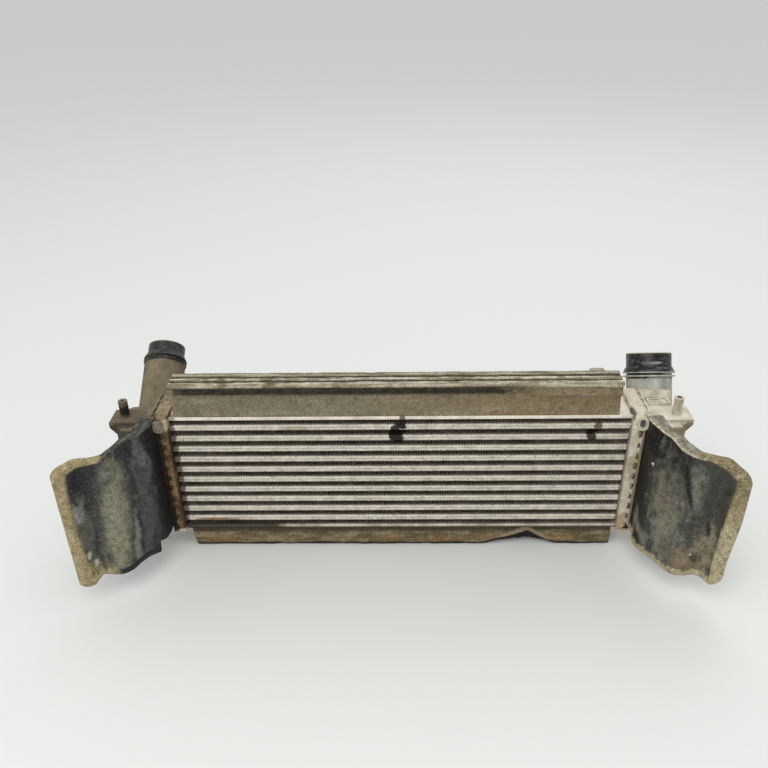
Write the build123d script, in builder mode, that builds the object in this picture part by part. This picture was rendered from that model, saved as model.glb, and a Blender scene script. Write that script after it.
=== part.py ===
from build123d import *
import os
from math import cos, radians, sin

# Intercooler (charge-air cooler), millimetres. X runs across the core, Y from front to back, Z up.
# The origin is under the middle of the core, on the surface that the bottom seal stands on.

# ---- core ----
core_width = 541.0            # between the two header trays
core_depth = 54.0
tube_count = 10
tube_height = 7.5
tube_wall = 0.9
tube_nose = 2.2               # bevel above and below the flat of a tube's nose
tube_web_count = 1            # inner webs of the extrusion
tube_stub = 1.0               # how far a tube end stands into the tank
fin_height = 7.5
fin_sheet = 0.35
fin_setback = 1.5             # fins stop short of the tube noses, front and back
fin_wall_count = 22           # folded walls in one row
plate_sheet = 1.5
plate_lip = 4.2               # folded edge of a side plate

# ---- header trays ----
header_sheet = 1.6
header_depth = 66.0
header_reach = 15.0           # height of the tray wall, along X
header_overrun = 3.5          # tray beyond the side plates, above and below
header_corner = 6.0
header_cut_count = 3
braze_gap = 0.05
window_length = 7.0           # crimp windows along the tray wall
window_width = 2.0
window_offset = 9.5           # from the core side of the tray
window_spacing = 15.0
window_count = 10
window_first = 11.5           # middle of the lowest window above the tray's end
crimp_depth = 1.8             # how far the crimped edge is pressed over the tank foot

# ---- gasket and tank foot ----
gasket_thickness = 2.0
gasket_width = 3.2
foot_gap = 0.2
tank_wall = 3.0

# ---- tank ----
shoulder_reach = 5.5          # the foot's shoulder outside the tray
bulge_reach = 47.0            # the air box beyond the shoulder
bulge_depth = 58.0
bulge_corner = 9.0
bulge_draft = 3.0             # each side draws in by this much on its way out
bulge_rise = 7.5              # the air box starts above the tray's lower end
bulge_drop = 20.9             # and ends below its upper end
band_rib_count = 4            # ribs around the air box
band_rib_thickness = 2.2
band_rib_height = 2.5
shoulder_rib_count = 4        # short ribs on top of the shoulder
shoulder_rib_height = 3.0

# ---- lugs and locating pins ----
lug_thickness = 3.5
lug_reach = 60.5              # the lug's outer edge, beyond the tray
lug_front = -16.0
lug_depth = 30.0
gusset_drop = 24.0
pin_radius = 5.5
pin_height = 22.0
pin_reach = 44.5              # the pin's axis, beyond the tray
pin_recess_radius = 2.6
pin_recess_depth = 6.0
peg_height = 22.0

# ---- spigots: the collar's place is out from the tray, behind it, and below its upper end ----
spigot_wall = 3.0
ring_width = 1.8
ring_gap = 2.8
ring_height = 4.0
ring_side_count = 24
ramp_length = 6.0
right_spigot_radius = 27.2
right_neck_radius = 27.5
right_spigot_tilt = 30.0      # back from straight up
right_collar_place = (29.1, 36.0, 7.2)
right_end_length = 17.5
right_spigot_root = 112.0     # reach down into the air box
left_spigot_radius = 23.5
left_neck_radius = 26.0
left_spigot_tilt = 53.0
left_collar_place = (24.5, 79.5, 9.2)
left_end_length = 13.5
left_spigot_root = 128.0

# ---- web between the upper lug and the right spigot ----
web_sheet = 3.0
web_width = 36.0
web_reach = 8.0
frame_rib = 1.8               # two rib frames, one inside the other
frame_height = 4.0
frame_depth = 17.0
inner_frame_depth = 8.0
frame_setback = 10.0          # middle of the frames behind the lug

# ---- air guides ----
guide_sheet = 2.5
guide_gap = 0.4               # clear of the tray and the tank foot
guide_rise = 6.5              # its lower edge above the tray's lower end
guide_drop = 14.4             # start of its lip below the tray's upper end
guide_straight = 29.0         # straight run forward of the tray, then these corners:
guide_plan = ((32.5, 76.0), (64.5, 79.0), (71.5, 92.0), (85.5, 98.5))   # out from the tray, and forward
guide_bends = (25.0, 16.0, 11.5, 11.5)
lip_rise = 11.0
lip_run = 9.0
bead_height = 8.0             # thickened lower edge
bead_depth = 2.0
bead_start = 24.0             # the guide's bottom steps up behind this, towards the tray
roof_plan = ((18.0, 0.0), (30.0, 38.0), (36.0, 56.0))   # roof between guide and lip: width, forward
guide_corner = 26.0
guide_toe = 9.0
ear_width = 12.0              # the ear lies on the front of the tray
ear_foot = 7.0                # and joins the guide below its top edge

# ---- push rivets ----
rivet_hole = 2.8              # half width of the hole through ear and tray
hole_side_count = 8
rivet_leg = 3.5               # square of the split shank
rivet_head_width = 6.0
rivet_head_height = 10.0
rivet_head = 1.6
rivet_head_bevel = 2.0
rivet_inset = 5.5             # rivet centre inside the tray wall's outer edge
rivet_drop = 9.0              # and below the tray's upper end

# ---- foam seals ----
foam_gap = 0.3
foot_height = 32.0            # the bottom side plate's lips stand this high
bottom_seal_gap = 2.0         # bare plate at each end of the seal
bottom_seal_slant = 4.5
bottom_seal_depth = 46.0
buckle_inset = 107.5          # where the bottom seal has buckled up, from its right end
buckle_rise = 20.0
buckle_left = 58.0
buckle_right = 40.0
buckle_shape = ((1.0, 0.0), (0.72, 0.1), (0.42, 0.5), (0.16, 0.9), (0.0, 1.0))   # shares of its width and rise
top_seal_left_gap = 10.5      # bare plate at each end: the seal is glued a little off centre
top_seal_right_gap = 19.5
top_seal_height = 54.0        # above the side plate's sheet
top_seal_thickness = 15.0
nose_overhang = 16.0
foam_edge = 1.0               # softened edges of the foam
stem_lean = 1.0               # the stem leans forward by this much up to the hollow
nose_drop = 8.0               # from the seal's top to the underside of the nose
throat_drop = 19.0            # from the seal's top to the foot of the hollow under the nose
nose_fade_inset = 81.0        # the hollow has died out at this distance from the right end
nose_fade_length = 50.0
groove_spacing = 10.0
groove_width = 4.0
groove_depth = 2.4
tab_inset = 23.0              # small tab on the back of the seal, from its right end
tab_width = 18.0
tab_depth = 9.0
tab_height = 6.0

# ---- derived levels and planes ----
core_half = core_width / 2
row_pitch = tube_height + fin_height
stack_bottom = foot_height + plate_lip
stack_height = tube_count * row_pitch + fin_height
stack_top = stack_bottom + stack_height
core_top = stack_top + plate_lip
core_middle = (foot_height + core_top) / 2
header_height = core_top - foot_height + 2 * header_overrun
header_outer = core_half + header_reach
header_front = -header_depth / 2
header_top = core_middle + header_height / 2
header_bottom = core_middle - header_height / 2
bulge_bottom = header_bottom + bulge_rise
bulge_top = header_top - bulge_drop
lug_top = bulge_top + lug_thickness
lug_tip = header_outer + lug_reach
pin_x = header_outer + pin_reach
pin_y = lug_front + lug_depth / 2


def bevelled(depth, height, corner, cuts=1):
    """Corners of a rectangle around the origin: one cut gives a bevel, and more cuts a rounder corner."""
    points = []
    for turn in range(4):
        side_y = 1 if turn in (0, 3) else -1
        side_z = 1 if turn in (0, 1) else -1
        for cut in range(cuts + 1):
            angle = radians(90 * (turn + cut / cuts))
            y = side_y * (depth / 2 - corner) + corner * cos(angle)
            z = side_z * (height / 2 - corner) + corner * sin(angle)
            points.append((y, z))
    return points


def fin_outline():
    """Zigzag strip, closed: down the upper side and back along the lower one."""
    pitch = core_width / fin_wall_count
    high = fin_height / 2
    upper = [(-core_half + i * pitch, high if i % 2 == 0 else fin_sheet - high) for i in range(fin_wall_count + 1)]
    lower = [(x, z - fin_sheet) for x, z in upper]
    return upper + lower[::-1]


# ---- fins and tubes, numbered from the bottom ----
pieces = []
for row in range(tube_count + 1):
    level = stack_bottom + row * row_pitch + fin_height / 2
    with BuildPart() as fin:
        with BuildSketch(Plane.XZ) as fin_face:
            with Locations((0, level)):
                Polygon(*fin_outline(), align=None)
        extrude(amount=core_depth / 2 - fin_setback, both=True)
    fin.part.label = f"fin_{row + 1:02d}"
    pieces.append(fin.part)

port_width = (core_depth - 2 * tube_wall - 2 * tube_nose - tube_web_count * tube_wall) / (tube_web_count + 1)
tube_end = core_half + header_sheet + tube_stub
for row in range(tube_count):
    level = stack_bottom + fin_height + row * row_pitch + tube_height / 2
    with BuildPart() as tube:
        with BuildSketch(Plane.YZ):
            with Locations((0, level)):
                Polygon(*bevelled(core_depth, tube_height, tube_nose), align=None)
                with GridLocations(port_width + tube_wall, 1, tube_web_count + 1, 1):
                    Rectangle(port_width, tube_height - 2 * tube_wall, mode=Mode.SUBTRACT)
        extrude(amount=tube_end, both=True)
    tube.part.label = f"tube_{row + 1:02d}"
    pieces.append(tube.part)

# ---- side plates: channels with their lips turned away from the core ----
for name, sheet_level, lip_level in (
    ("bottom_side_plate", stack_bottom - plate_sheet / 2, stack_bottom - plate_lip / 2),
    ("top_side_plate", stack_top + plate_sheet / 2, stack_top + plate_lip / 2),
):
    with BuildPart() as plate:
        with BuildSketch(Plane.YZ):
            with Locations((0, sheet_level)):
                Rectangle(core_depth, plate_sheet)
            with Locations(
                (plate_sheet / 2 - core_depth / 2, lip_level), (core_depth / 2 - plate_sheet / 2, lip_level)
            ):
                Rectangle(plate_sheet, plate_lip)
        extrude(amount=core_half, both=True)
    plate.part.label = name
    pieces.append(plate.part)

# ---- header tray, right-handed ----
tube_levels = [stack_bottom + fin_height + row * row_pitch + tube_height / 2 for row in range(tube_count)]
tray_inner_depth = header_depth - 2 * header_sheet
tray_inner_height = header_height - 2 * header_sheet
foot_start = header_sheet + gasket_thickness         # along X, from the core side of the tray
foot_end = window_offset + window_width / 2
rivet_x = header_outer - rivet_inset
rivet_level = header_top - rivet_drop
window_x = core_half + window_offset
window_middle = header_bottom + window_first + window_spacing * (window_count - 1) / 2
middle = (0, core_middle)

with BuildPart() as header:
    with BuildSketch(Plane.YZ.offset(core_half)):
        with Locations(middle):
            Polygon(*bevelled(header_depth, header_height, header_corner, header_cut_count), align=None)
    extrude(amount=header_reach)
    with BuildSketch(Plane.YZ.offset(core_half + header_sheet)):
        with Locations(middle):
            Polygon(*bevelled(tray_inner_depth, tray_inner_height, header_corner - header_sheet), align=None)
    extrude(amount=foot_end - header_sheet, mode=Mode.SUBTRACT)
    with BuildSketch(Plane.YZ.offset(core_half + foot_end)):
        with Locations(middle):
            Polygon(
                *bevelled(
                    tray_inner_depth - 2 * crimp_depth,
                    tray_inner_height - 2 * crimp_depth,
                    header_corner - header_sheet - crimp_depth,
                ),
                align=None,
            )
    extrude(amount=header_reach - foot_end, mode=Mode.SUBTRACT)
    with BuildSketch(Plane.YZ.offset(core_half)):
        for level in tube_levels:
            with Locations((0, level)):
                Polygon(*bevelled(core_depth + 2 * braze_gap, tube_height + 2 * braze_gap, tube_nose), align=None)
    extrude(amount=header_sheet, mode=Mode.SUBTRACT)
    with BuildSketch(Plane.XZ):
        with Locations((window_x, window_middle)):
            with GridLocations(1, window_spacing, 1, window_count):
                Rectangle(window_width, window_length)
    extrude(amount=header_depth, both=True, mode=Mode.SUBTRACT)
    with BuildSketch(Plane.XZ):
        with Locations((rivet_x, rivet_level)):
            RegularPolygon(rivet_hole, hole_side_count, major_radius=False)
    extrude(amount=header_depth, mode=Mode.SUBTRACT)

# ---- gasket, right-handed: a ring in the tray, under the tank's foot ----
gasket_depth = tray_inner_depth - 2 * foot_gap
gasket_height = tray_inner_height - 2 * foot_gap
with BuildPart() as gasket:
    with BuildSketch(Plane.YZ.offset(core_half + header_sheet)):
        with Locations(middle):
            Polygon(*bevelled(gasket_depth, gasket_height, header_corner - header_sheet), align=None)
            Rectangle(gasket_depth - 2 * gasket_width, gasket_height - 2 * gasket_width, mode=Mode.SUBTRACT)
    extrude(amount=gasket_thickness)

# ---- end tank, right-handed ----
shoulder_start = core_half + foot_end
bulge_start = header_outer + shoulder_reach
shoulder_depth = tray_inner_depth - 2 * crimp_depth - 2 * foot_gap
shoulder_height = tray_inner_height - 2 * crimp_depth - 2 * foot_gap
bulge_height = bulge_top - bulge_bottom
bulge_end = bulge_start + bulge_reach


def air_box_plan(start, inset):
    """Plan of the air box from start outwards, or of a smaller or larger outline at an even distance."""
    end = bulge_end - inset
    near = bulge_depth / 2 - inset
    far = near - bulge_draft
    return [
        (start, -near),
        (end - bulge_corner, -far),
        (end, bulge_corner - far),
        (end, far - bulge_corner),
        (end - bulge_corner, far),
        (start, near),
    ]


def collar_point(place):
    """Middle of a spigot's lower collar ring."""
    out, behind, below = place
    return (header_outer + out, header_depth / 2 + behind, header_top - below)


def spigot_plane(collar, tilt):
    """Plane whose local y runs out along a spigot's axis, from the lower collar ring."""
    lean = radians(tilt)
    return Plane(origin=collar, x_dir=(1, 0, 0), z_dir=(0, -cos(lean), sin(lean)))


def end_tank(place, tilt, radius, neck, end_length, root, framed):
    """One moulding: foot, shoulder, ribbed air box, lugs with pin and peg, and the spigot."""
    collar = collar_point(place)
    axis_plane = spigot_plane(collar, tilt)
    spigot_axis = Axis(collar, axis_plane.y_dir)
    across_axis = Plane(origin=collar, x_dir=(1, 0, 0), z_dir=axis_plane.y_dir)
    bore_depth = root - spigot_wall
    ramp_start = ring_width + ring_gap
    ramp_end = ramp_start + ring_width + ramp_length
    spigot_end = ramp_end + end_length
    with BuildPart() as tank:
        with BuildSketch(Plane.XY.offset(bulge_bottom)):
            Polygon(*air_box_plan(bulge_start, 0), align=None)
        extrude(amount=bulge_height)
        # ribs around the air box
        rib_gap = bulge_height / (band_rib_count + 1)
        for rib in range(band_rib_count):
            with BuildSketch(Plane.XY.offset(bulge_bottom + rib_gap * (rib + 1) - band_rib_thickness / 2)):
                Polygon(*air_box_plan(bulge_start, -band_rib_height), align=None)
            extrude(amount=band_rib_thickness)
        # upper lug, flush over the air box, with its gusset
        with BuildSketch(Plane.XZ.offset(-lug_front - lug_depth)):
            with BuildLine():
                Polyline((bulge_start, lug_top), (lug_tip, lug_top), (lug_tip, bulge_top - lug_thickness))
                Line((lug_tip, bulge_top - lug_thickness), (bulge_end - bulge_corner, bulge_top - gusset_drop))
                Polyline(
                    (bulge_end - bulge_corner, bulge_top - gusset_drop),
                    (bulge_start, bulge_top - gusset_drop),
                    (bulge_start, lug_top),
                )
            make_face()
        extrude(amount=lug_depth)
        # web with its rib frame, from the lug to the neck
        if framed:
            web_middle = (bulge_start + bulge_end - bulge_corner) / 2
            web_start = lug_front + lug_depth
            with BuildSketch(Plane.XY.offset(lug_top - web_sheet)):
                with Locations((web_middle, web_start)):
                    Rectangle(web_width, collar[1] - radius - web_start + web_reach, align=(Align.CENTER, Align.MIN))
            extrude(amount=web_sheet)
            with BuildSketch(Plane.XY.offset(lug_top)):
                for width, depth in ((web_width - frame_rib, frame_depth), (web_width / 2, inner_frame_depth)):
                    with Locations((web_middle, web_start + frame_setback)):
                        Rectangle(width, depth)
                        Rectangle(width - 2 * frame_rib, depth - 2 * frame_rib, mode=Mode.SUBTRACT)
            extrude(amount=frame_height)
        # lower lug
        with BuildSketch(Plane.XY.offset(bulge_bottom - lug_thickness)):
            with Locations(((bulge_start + lug_tip) / 2, lug_front + lug_depth / 2)):
                Rectangle(lug_tip - bulge_start, lug_depth)
        extrude(amount=lug_thickness + bulge_corner)
        # neck and end of the spigot
        with BuildSketch(axis_plane):
            Polygon((0, -root), (neck, -root), (neck, 0), (radius, 0), (radius, spigot_end), (0, spigot_end), align=None)
        revolve(axis=spigot_axis)
        # double collar, its upper ring with a ramp that the hose slides over
        with BuildSketch(across_axis):
            RegularPolygon(radius + ring_height, ring_side_count)
        extrude(amount=ring_width)
        with BuildSketch(across_axis.offset(ramp_start)):
            RegularPolygon(radius + ring_height, ring_side_count)
        with BuildSketch(across_axis.offset(ramp_end)):
            RegularPolygon(radius, ring_side_count, major_radius=False)
        loft(ruled=True)
        # the neck stays clear of the tray
        with BuildSketch(Plane.YZ.offset(core_half)):
            with Locations(middle):
                Rectangle(header_depth + 2 * guide_gap, header_height + 2 * guide_gap)
        extrude(amount=header_reach + guide_gap, mode=Mode.SUBTRACT)
        # shoulder and foot
        with BuildSketch(Plane.YZ.offset(shoulder_start)):
            with Locations(middle):
                Polygon(*bevelled(shoulder_depth, shoulder_height, bulge_corner / 2), align=None)
        extrude(amount=bulge_start - shoulder_start)
        with BuildSketch(Plane.YZ.offset(core_half + foot_start)):
            with Locations(middle):
                Polygon(*bevelled(gasket_depth, gasket_height, header_corner - header_sheet), align=None)
        extrude(amount=foot_end - foot_start)
        # short ribs and ridge on top of the shoulder
        shoulder_top = core_middle + shoulder_height / 2
        rib_span = shoulder_depth / shoulder_rib_count
        with BuildSketch(Plane.XY.offset(shoulder_top)):
            with Locations((header_outer + guide_gap + shoulder_reach / 2, 0)):
                with GridLocations(1, rib_span, 1, shoulder_rib_count):
                    Rectangle(shoulder_reach - 2 * guide_gap, frame_rib)
            with Locations((bulge_start - frame_rib / 2, 0)):
                Rectangle(frame_rib, shoulder_depth - bulge_corner)
        extrude(amount=shoulder_rib_height)
        # pin and peg
        with BuildSketch(Plane.XY.offset(lug_top)):
            with Locations((pin_x, pin_y)):
                Circle(pin_radius)
        extrude(amount=pin_height)
        with BuildSketch(Plane.XY.offset(lug_top + pin_height - pin_recess_depth)):
            with Locations((pin_x, pin_y)):
                RegularPolygon(pin_recess_radius, hole_side_count)
        extrude(amount=pin_recess_depth, mode=Mode.SUBTRACT)
        with BuildSketch(Plane.XY.offset(bulge_bottom - lug_thickness)):
            with Locations((pin_x, pin_y)):
                Circle(pin_radius)
        extrude(amount=-peg_height)
        # air passages: through the foot, the air box and the spigot
        with BuildSketch(Plane.YZ.offset(core_half + foot_start)):
            with Locations(middle):
                Rectangle(shoulder_depth - 2 * tank_wall, shoulder_height - 2 * tank_wall)
        extrude(amount=bulge_start - tank_wall - core_half - foot_start, mode=Mode.SUBTRACT)
        with BuildSketch(Plane.XY.offset(bulge_bottom + tank_wall)):
            Polygon(*air_box_plan(bulge_start - tank_wall, tank_wall), align=None)
        extrude(amount=bulge_height - 2 * tank_wall, mode=Mode.SUBTRACT)
        with BuildSketch(across_axis.offset(-bore_depth)):
            Circle(radius - spigot_wall)
        extrude(amount=bore_depth + spigot_end, mode=Mode.SUBTRACT)
    return tank.part


# ---- air guide, right-handed: a lipped strip swept along its plan curve, then rounded ----
guide_inner = header_outer + guide_gap
guide_back = -shoulder_depth / 2 - guide_gap
guide_bottom = header_bottom + guide_rise
guide_top = header_top - guide_drop
guide_crest = guide_top + lip_rise
guide_straight_end = header_front - guide_straight
guide_front = header_front - guide_plan[-1][1] - 2 * guide_sheet - bead_depth
with BuildPart() as air_guide:
    with BuildLine() as guide_path:
        FilletPolyline(
            (guide_inner + guide_sheet / 2, guide_back),
            (guide_inner + guide_sheet / 2, guide_straight_end),
            *[(header_outer + out, header_front - forward) for out, forward in guide_plan],
            radius=guide_bends,
        )
    with BuildSketch(Plane(origin=guide_path.line @ 0, x_dir=(1, 0, 0), z_dir=(0, -1, 0))):
        half = guide_sheet / 2
        Polygon(
            (-half, guide_bottom + bead_height),
            (-half - bead_depth, guide_bottom + bead_height - bead_depth),
            (-half - bead_depth, guide_bottom),
            (half, guide_bottom),
            (half, guide_top),
            (half + lip_run, guide_crest - guide_sheet),
            (half + lip_run, guide_crest),
            (-half, guide_top + half),
            align=None,
        )
    sweep(path=guide_path.line)
    # flat roof between the guide and its lip, next to the tray
    with BuildSketch(Plane.XY.offset(guide_crest - guide_sheet)):
        Polygon(
            (guide_inner, header_front),
            *[(guide_inner + width, header_front - forward) for width, forward in roof_plan],
            (guide_inner, guide_straight_end),
            align=None,
        )
    extrude(amount=guide_sheet)
    # round corner above and round toe below, at the outer edge
    guide_tip = (guide_path.line @ 1).X + guide_sheet / 2
    with BuildSketch(Plane.XZ):
        with Locations((guide_tip, guide_crest)):
            Rectangle(2 * guide_corner, 2 * guide_corner)
        with Locations((guide_tip - guide_corner, guide_crest - guide_corner)):
            Circle(guide_corner, mode=Mode.SUBTRACT)
        with Locations((guide_tip, guide_bottom)):
            Rectangle(2 * guide_toe, 2 * guide_toe)
        with Locations((guide_tip - guide_toe, guide_bottom + guide_toe)):
            Circle(guide_toe, mode=Mode.SUBTRACT)
    extrude(amount=-guide_front, mode=Mode.SUBTRACT)
    # the bottom steps up next to the tray
    with BuildSketch(Plane.XY.offset(guide_bottom)):
        with Locations((guide_inner + guide_sheet / 2, guide_back)):
            Rectangle(4 * guide_sheet, 2 * bead_start)
    extrude(amount=bead_height, mode=Mode.SUBTRACT)
    # the ear lies on the front of the tray
    with BuildSketch(Plane.XZ.offset(-header_front)):
        with Locations((guide_inner + guide_sheet / 2, guide_top - ear_foot)):
            Rectangle(ear_width + guide_sheet, lip_rise + ear_foot, align=(Align.MAX, Align.MIN))
        with Locations((rivet_x, rivet_level)):
            RegularPolygon(rivet_hole, hole_side_count, major_radius=False, mode=Mode.SUBTRACT)
    extrude(amount=guide_sheet)

# ---- push rivet, right-handed ----
with BuildPart() as rivet:
    with BuildSketch(Plane.XZ.offset(guide_sheet - header_front)):
        with Locations((rivet_x, rivet_level)):
            Polygon(*bevelled(rivet_head_width, rivet_head_height, rivet_head_bevel), align=None)
    extrude(amount=rivet_head)
    with BuildSketch(Plane.XZ.offset(guide_sheet - header_front)):
        with Locations((rivet_x, rivet_level)):
            Rectangle(rivet_leg, rivet_leg)
    extrude(amount=-guide_sheet - header_sheet)

# ---- bottom seal: a foam strip in the channel of the bottom side plate, buckled up on the right ----
seal_top = stack_bottom - plate_sheet
seal_half = core_half - bottom_seal_gap
buckle_x = seal_half - buckle_inset
buckle_rising = [(buckle_x - buckle_left * side, buckle_rise * up) for side, up in buckle_shape]
buckle_falling = [(buckle_x + buckle_right * side, buckle_rise * up) for side, up in buckle_shape[-2::-1]]
with BuildPart() as bottom_seal:
    with BuildSketch(Plane.XZ):
        Polygon(
            (bottom_seal_slant - seal_half, 0),
            *buckle_rising,
            *buckle_falling,
            (seal_half - bottom_seal_slant, 0),
            (seal_half, seal_top),
            (-seal_half, seal_top),
            align=None,
        )
    extrude(amount=bottom_seal_depth / 2, both=True)
bottom_seal.part.label = "bottom_seal"
pieces.append(bottom_seal.part)

# ---- top seal: a foam stem with a grooved nose that leans over the core ----
seal_base = stack_top + plate_sheet
seal_crest = seal_base + top_seal_height
seal_front = plate_sheet + foam_gap - core_depth / 2
seal_back = seal_front + top_seal_thickness
nose_tip = seal_front - nose_overhang
seal_start = top_seal_left_gap - core_half
seal_end = core_half - top_seal_right_gap
nose_fade_end = seal_end - nose_fade_inset
nose_fade_start = nose_fade_end - nose_fade_length


def top_seal_face(hollow):
    """Section of the seal: with the hollow under its nose, or filled out to a slope."""
    throat = seal_front - stem_lean if hollow else (seal_front + nose_tip) / 2
    grooves = []
    for groove in (1, 2):
        middle_y = nose_tip + groove * groove_spacing
        grooves.append((middle_y - groove_width / 2, seal_crest))
        grooves.append((middle_y, seal_crest - groove_depth))
        grooves.append((middle_y + groove_width / 2, seal_crest))
    return [
        (seal_front, seal_base),
        (seal_front, stack_top + plate_lip + foam_gap),
        (throat, seal_crest - throat_drop),
        (nose_tip + foam_edge, seal_crest - nose_drop),
        (nose_tip, seal_crest - nose_drop / 2),
        (nose_tip + 2 * foam_edge, seal_crest),
        *grooves,
        (seal_back, seal_crest - foam_edge),
        (seal_back, seal_base),
    ]


with BuildPart() as top_seal:
    with BuildSketch(Plane.YZ.offset(seal_start)):
        Polygon(*top_seal_face(hollow=True), align=None)
    extrude(amount=nose_fade_start - seal_start)
    with BuildSketch(Plane.YZ.offset(nose_fade_start)):
        Polygon(*top_seal_face(hollow=True), align=None)
    with BuildSketch(Plane.YZ.offset(nose_fade_end)):
        Polygon(*top_seal_face(hollow=False), align=None)
    loft(ruled=True)
    with BuildSketch(Plane.YZ.offset(nose_fade_end)):
        Polygon(*top_seal_face(hollow=False), align=None)
    extrude(amount=seal_end - nose_fade_end)
    with BuildSketch(Plane.XY.offset(seal_crest - 2 * foam_edge)):
        with Locations((seal_end - tab_inset, seal_back)):
            Rectangle(tab_width, tab_depth, align=(Align.CENTER, Align.MIN))
    extrude(amount=-tab_height)
top_seal.part.label = "top_seal"
pieces.append(top_seal.part)

# ---- the two hands ----
handed = (("header", header), ("gasket", gasket), ("air_guide", air_guide), ("guide_rivet", rivet))
for kind, builder in handed:
    right_piece = builder.part
    right_piece.label = f"right_{kind}"
    left_piece = mirror(right_piece, about=Plane.YZ)
    left_piece.label = f"left_{kind}"
    pieces += [right_piece, left_piece]
right_tank = end_tank(
    place=right_collar_place,
    tilt=right_spigot_tilt,
    radius=right_spigot_radius,
    neck=right_neck_radius,
    end_length=right_end_length,
    root=right_spigot_root,
    framed=True,
)
right_tank.label = "right_tank"
left_tank = end_tank(
    place=left_collar_place,
    tilt=left_spigot_tilt,
    radius=left_spigot_radius,
    neck=left_neck_radius,
    end_length=left_end_length,
    root=left_spigot_root,
    framed=False,
)
left_tank = mirror(left_tank, about=Plane.YZ)
left_tank.label = "left_tank"
pieces += [right_tank, left_tank]

os.makedirs("parts", exist_ok=True)
for piece in pieces:
    export_step(piece, f"parts/{piece.label}.step")
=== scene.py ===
# %% [markdown]
# # An intercooler after years behind a bumper
# An intercooler cools the air between a turbocharger and an engine. This one has a brazed aluminium core,
# two plastic end tanks, foam seals above and below, and two moulded guides that lead the wind into the core.
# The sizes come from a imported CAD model. This lesson gives its pieces their fine shape, and the finish of a
# part that has seen rain, salt, dust and stones. The scene is in metres and in the CAD model's own frame.
# Sizes are written in millimetres, so they are multiplied by MM on their way into it.

from math import cos, pi, radians, sin, sqrt, tan
from types import SimpleNamespace

import bmesh
import bpy
from mathutils import Matrix, Vector, noise


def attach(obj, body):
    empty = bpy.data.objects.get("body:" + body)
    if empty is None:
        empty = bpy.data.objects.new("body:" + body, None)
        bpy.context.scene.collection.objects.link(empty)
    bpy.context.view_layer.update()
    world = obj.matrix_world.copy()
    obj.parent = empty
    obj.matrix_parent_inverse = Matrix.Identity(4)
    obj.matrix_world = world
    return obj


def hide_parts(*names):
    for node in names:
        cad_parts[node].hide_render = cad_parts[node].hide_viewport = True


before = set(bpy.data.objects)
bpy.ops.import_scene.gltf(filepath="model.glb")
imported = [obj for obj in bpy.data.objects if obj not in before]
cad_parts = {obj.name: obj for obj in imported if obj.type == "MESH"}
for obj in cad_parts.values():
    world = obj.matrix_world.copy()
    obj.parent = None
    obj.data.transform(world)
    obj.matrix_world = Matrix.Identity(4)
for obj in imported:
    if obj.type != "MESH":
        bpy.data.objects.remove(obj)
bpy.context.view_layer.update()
MM = 0.001
scene = bpy.context.scene
scene.view_settings.view_transform = "Standard"


def in_scene(name, data):
    """A new object in the scene."""
    thing = bpy.data.objects.new(name, data)
    scene.collection.objects.link(thing)
    return thing


# %% [markdown]
# ## Camera
# The part is looked down on from in front, from a little under a metre away. The three turns are written as
# pitch, yaw and roll, and the camera's axes are worked out from them, which is easier to check than Euler
# angles. The focal length comes from a picture's pixels, and a 36 mm sensor turns it into a lens.

# %% Camera
EYE = Vector((3.787, -802.36, 689.558)) * MM
PITCH, YAW, ROLL = radians(30.005), radians(-1.5), radians(-1.133)
SENSOR, FOCAL_PIXELS, PICTURE_PIXELS = 36.0, 790, 768
forward = Vector((sin(YAW) * cos(PITCH), cos(YAW) * cos(PITCH), -sin(PITCH)))
across = Vector((cos(YAW), -sin(YAW), 0.0))
unrolled = Matrix((across, across.cross(forward), -forward)).transposed()
camera_data = bpy.data.cameras.new("camera")
camera_data.sensor_width = SENSOR
camera_data.lens = SENSOR * FOCAL_PIXELS / PICTURE_PIXELS
camera_data.clip_end = 60.0
scene.camera = in_scene("camera", camera_data)
scene.camera.matrix_world = Matrix.Translation(EYE) @ (unrolled @ Matrix.Rotation(ROLL, 3, "Z")).to_4x4()
print("lens in mm:", round(camera_data.lens, 2))

# %% [markdown]
# ## Small helpers
# Colours are chosen on a screen, so they are written as sRGB hex values and turned to linear ones, which is
# what a renderer works in. Nodes are added by one function that takes settings and links together.

# %% Colour, node and mesh helpers


def linear(code):
    """An sRGB hex colour as linear RGBA."""
    values = [int(code[start : start + 2], 16) / 255 for start in (1, 3, 5)]
    return [v / 12.92 if v <= 0.04045 else ((v + 0.055) / 1.055) ** 2.4 for v in values] + [1.0]


def add(tree, kind, settings=None, sockets=(), **named):
    """Adds a node, a shader one unless its kind says otherwise. Settings go by name, or are one word for the
    operation. Sockets go in order, by number or by name. One that is given an output, or a node that stands
    for its first output, is linked to it, and any other value is set."""
    node = tree.nodes.new(kind if "Node" in kind else "ShaderNode" + kind)
    for name, value in ({"operation": settings} if isinstance(settings, str) else settings or {}).items():
        setattr(node, name, value)
    sockets = sockets if isinstance(sockets, dict) else dict(enumerate(sockets))
    for name, value in (sockets | named).items():
        if isinstance(value, bpy.types.Node):
            value = value.outputs[0]
        if isinstance(value, bpy.types.NodeSocket):
            tree.links.new(value, node.inputs[name])
        else:
            node.inputs[name].default_value = value
    return node


def mesh_of(shape, name):
    """The mesh of a shape that is built, and the shape itself is freed."""
    mesh = bpy.data.meshes.new(name)
    shape.to_mesh(mesh)
    shape.free()
    return mesh


# %% [markdown]
# ## Floor and light
# The floor is plain and pale, so that the part stands out and its shadow shows. A soft sky gives half of the
# light, and a wide lamp above and in front gives the rest. Together they light a surface that faces them at
# about the level at which a colour looks as it is written.

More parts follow.
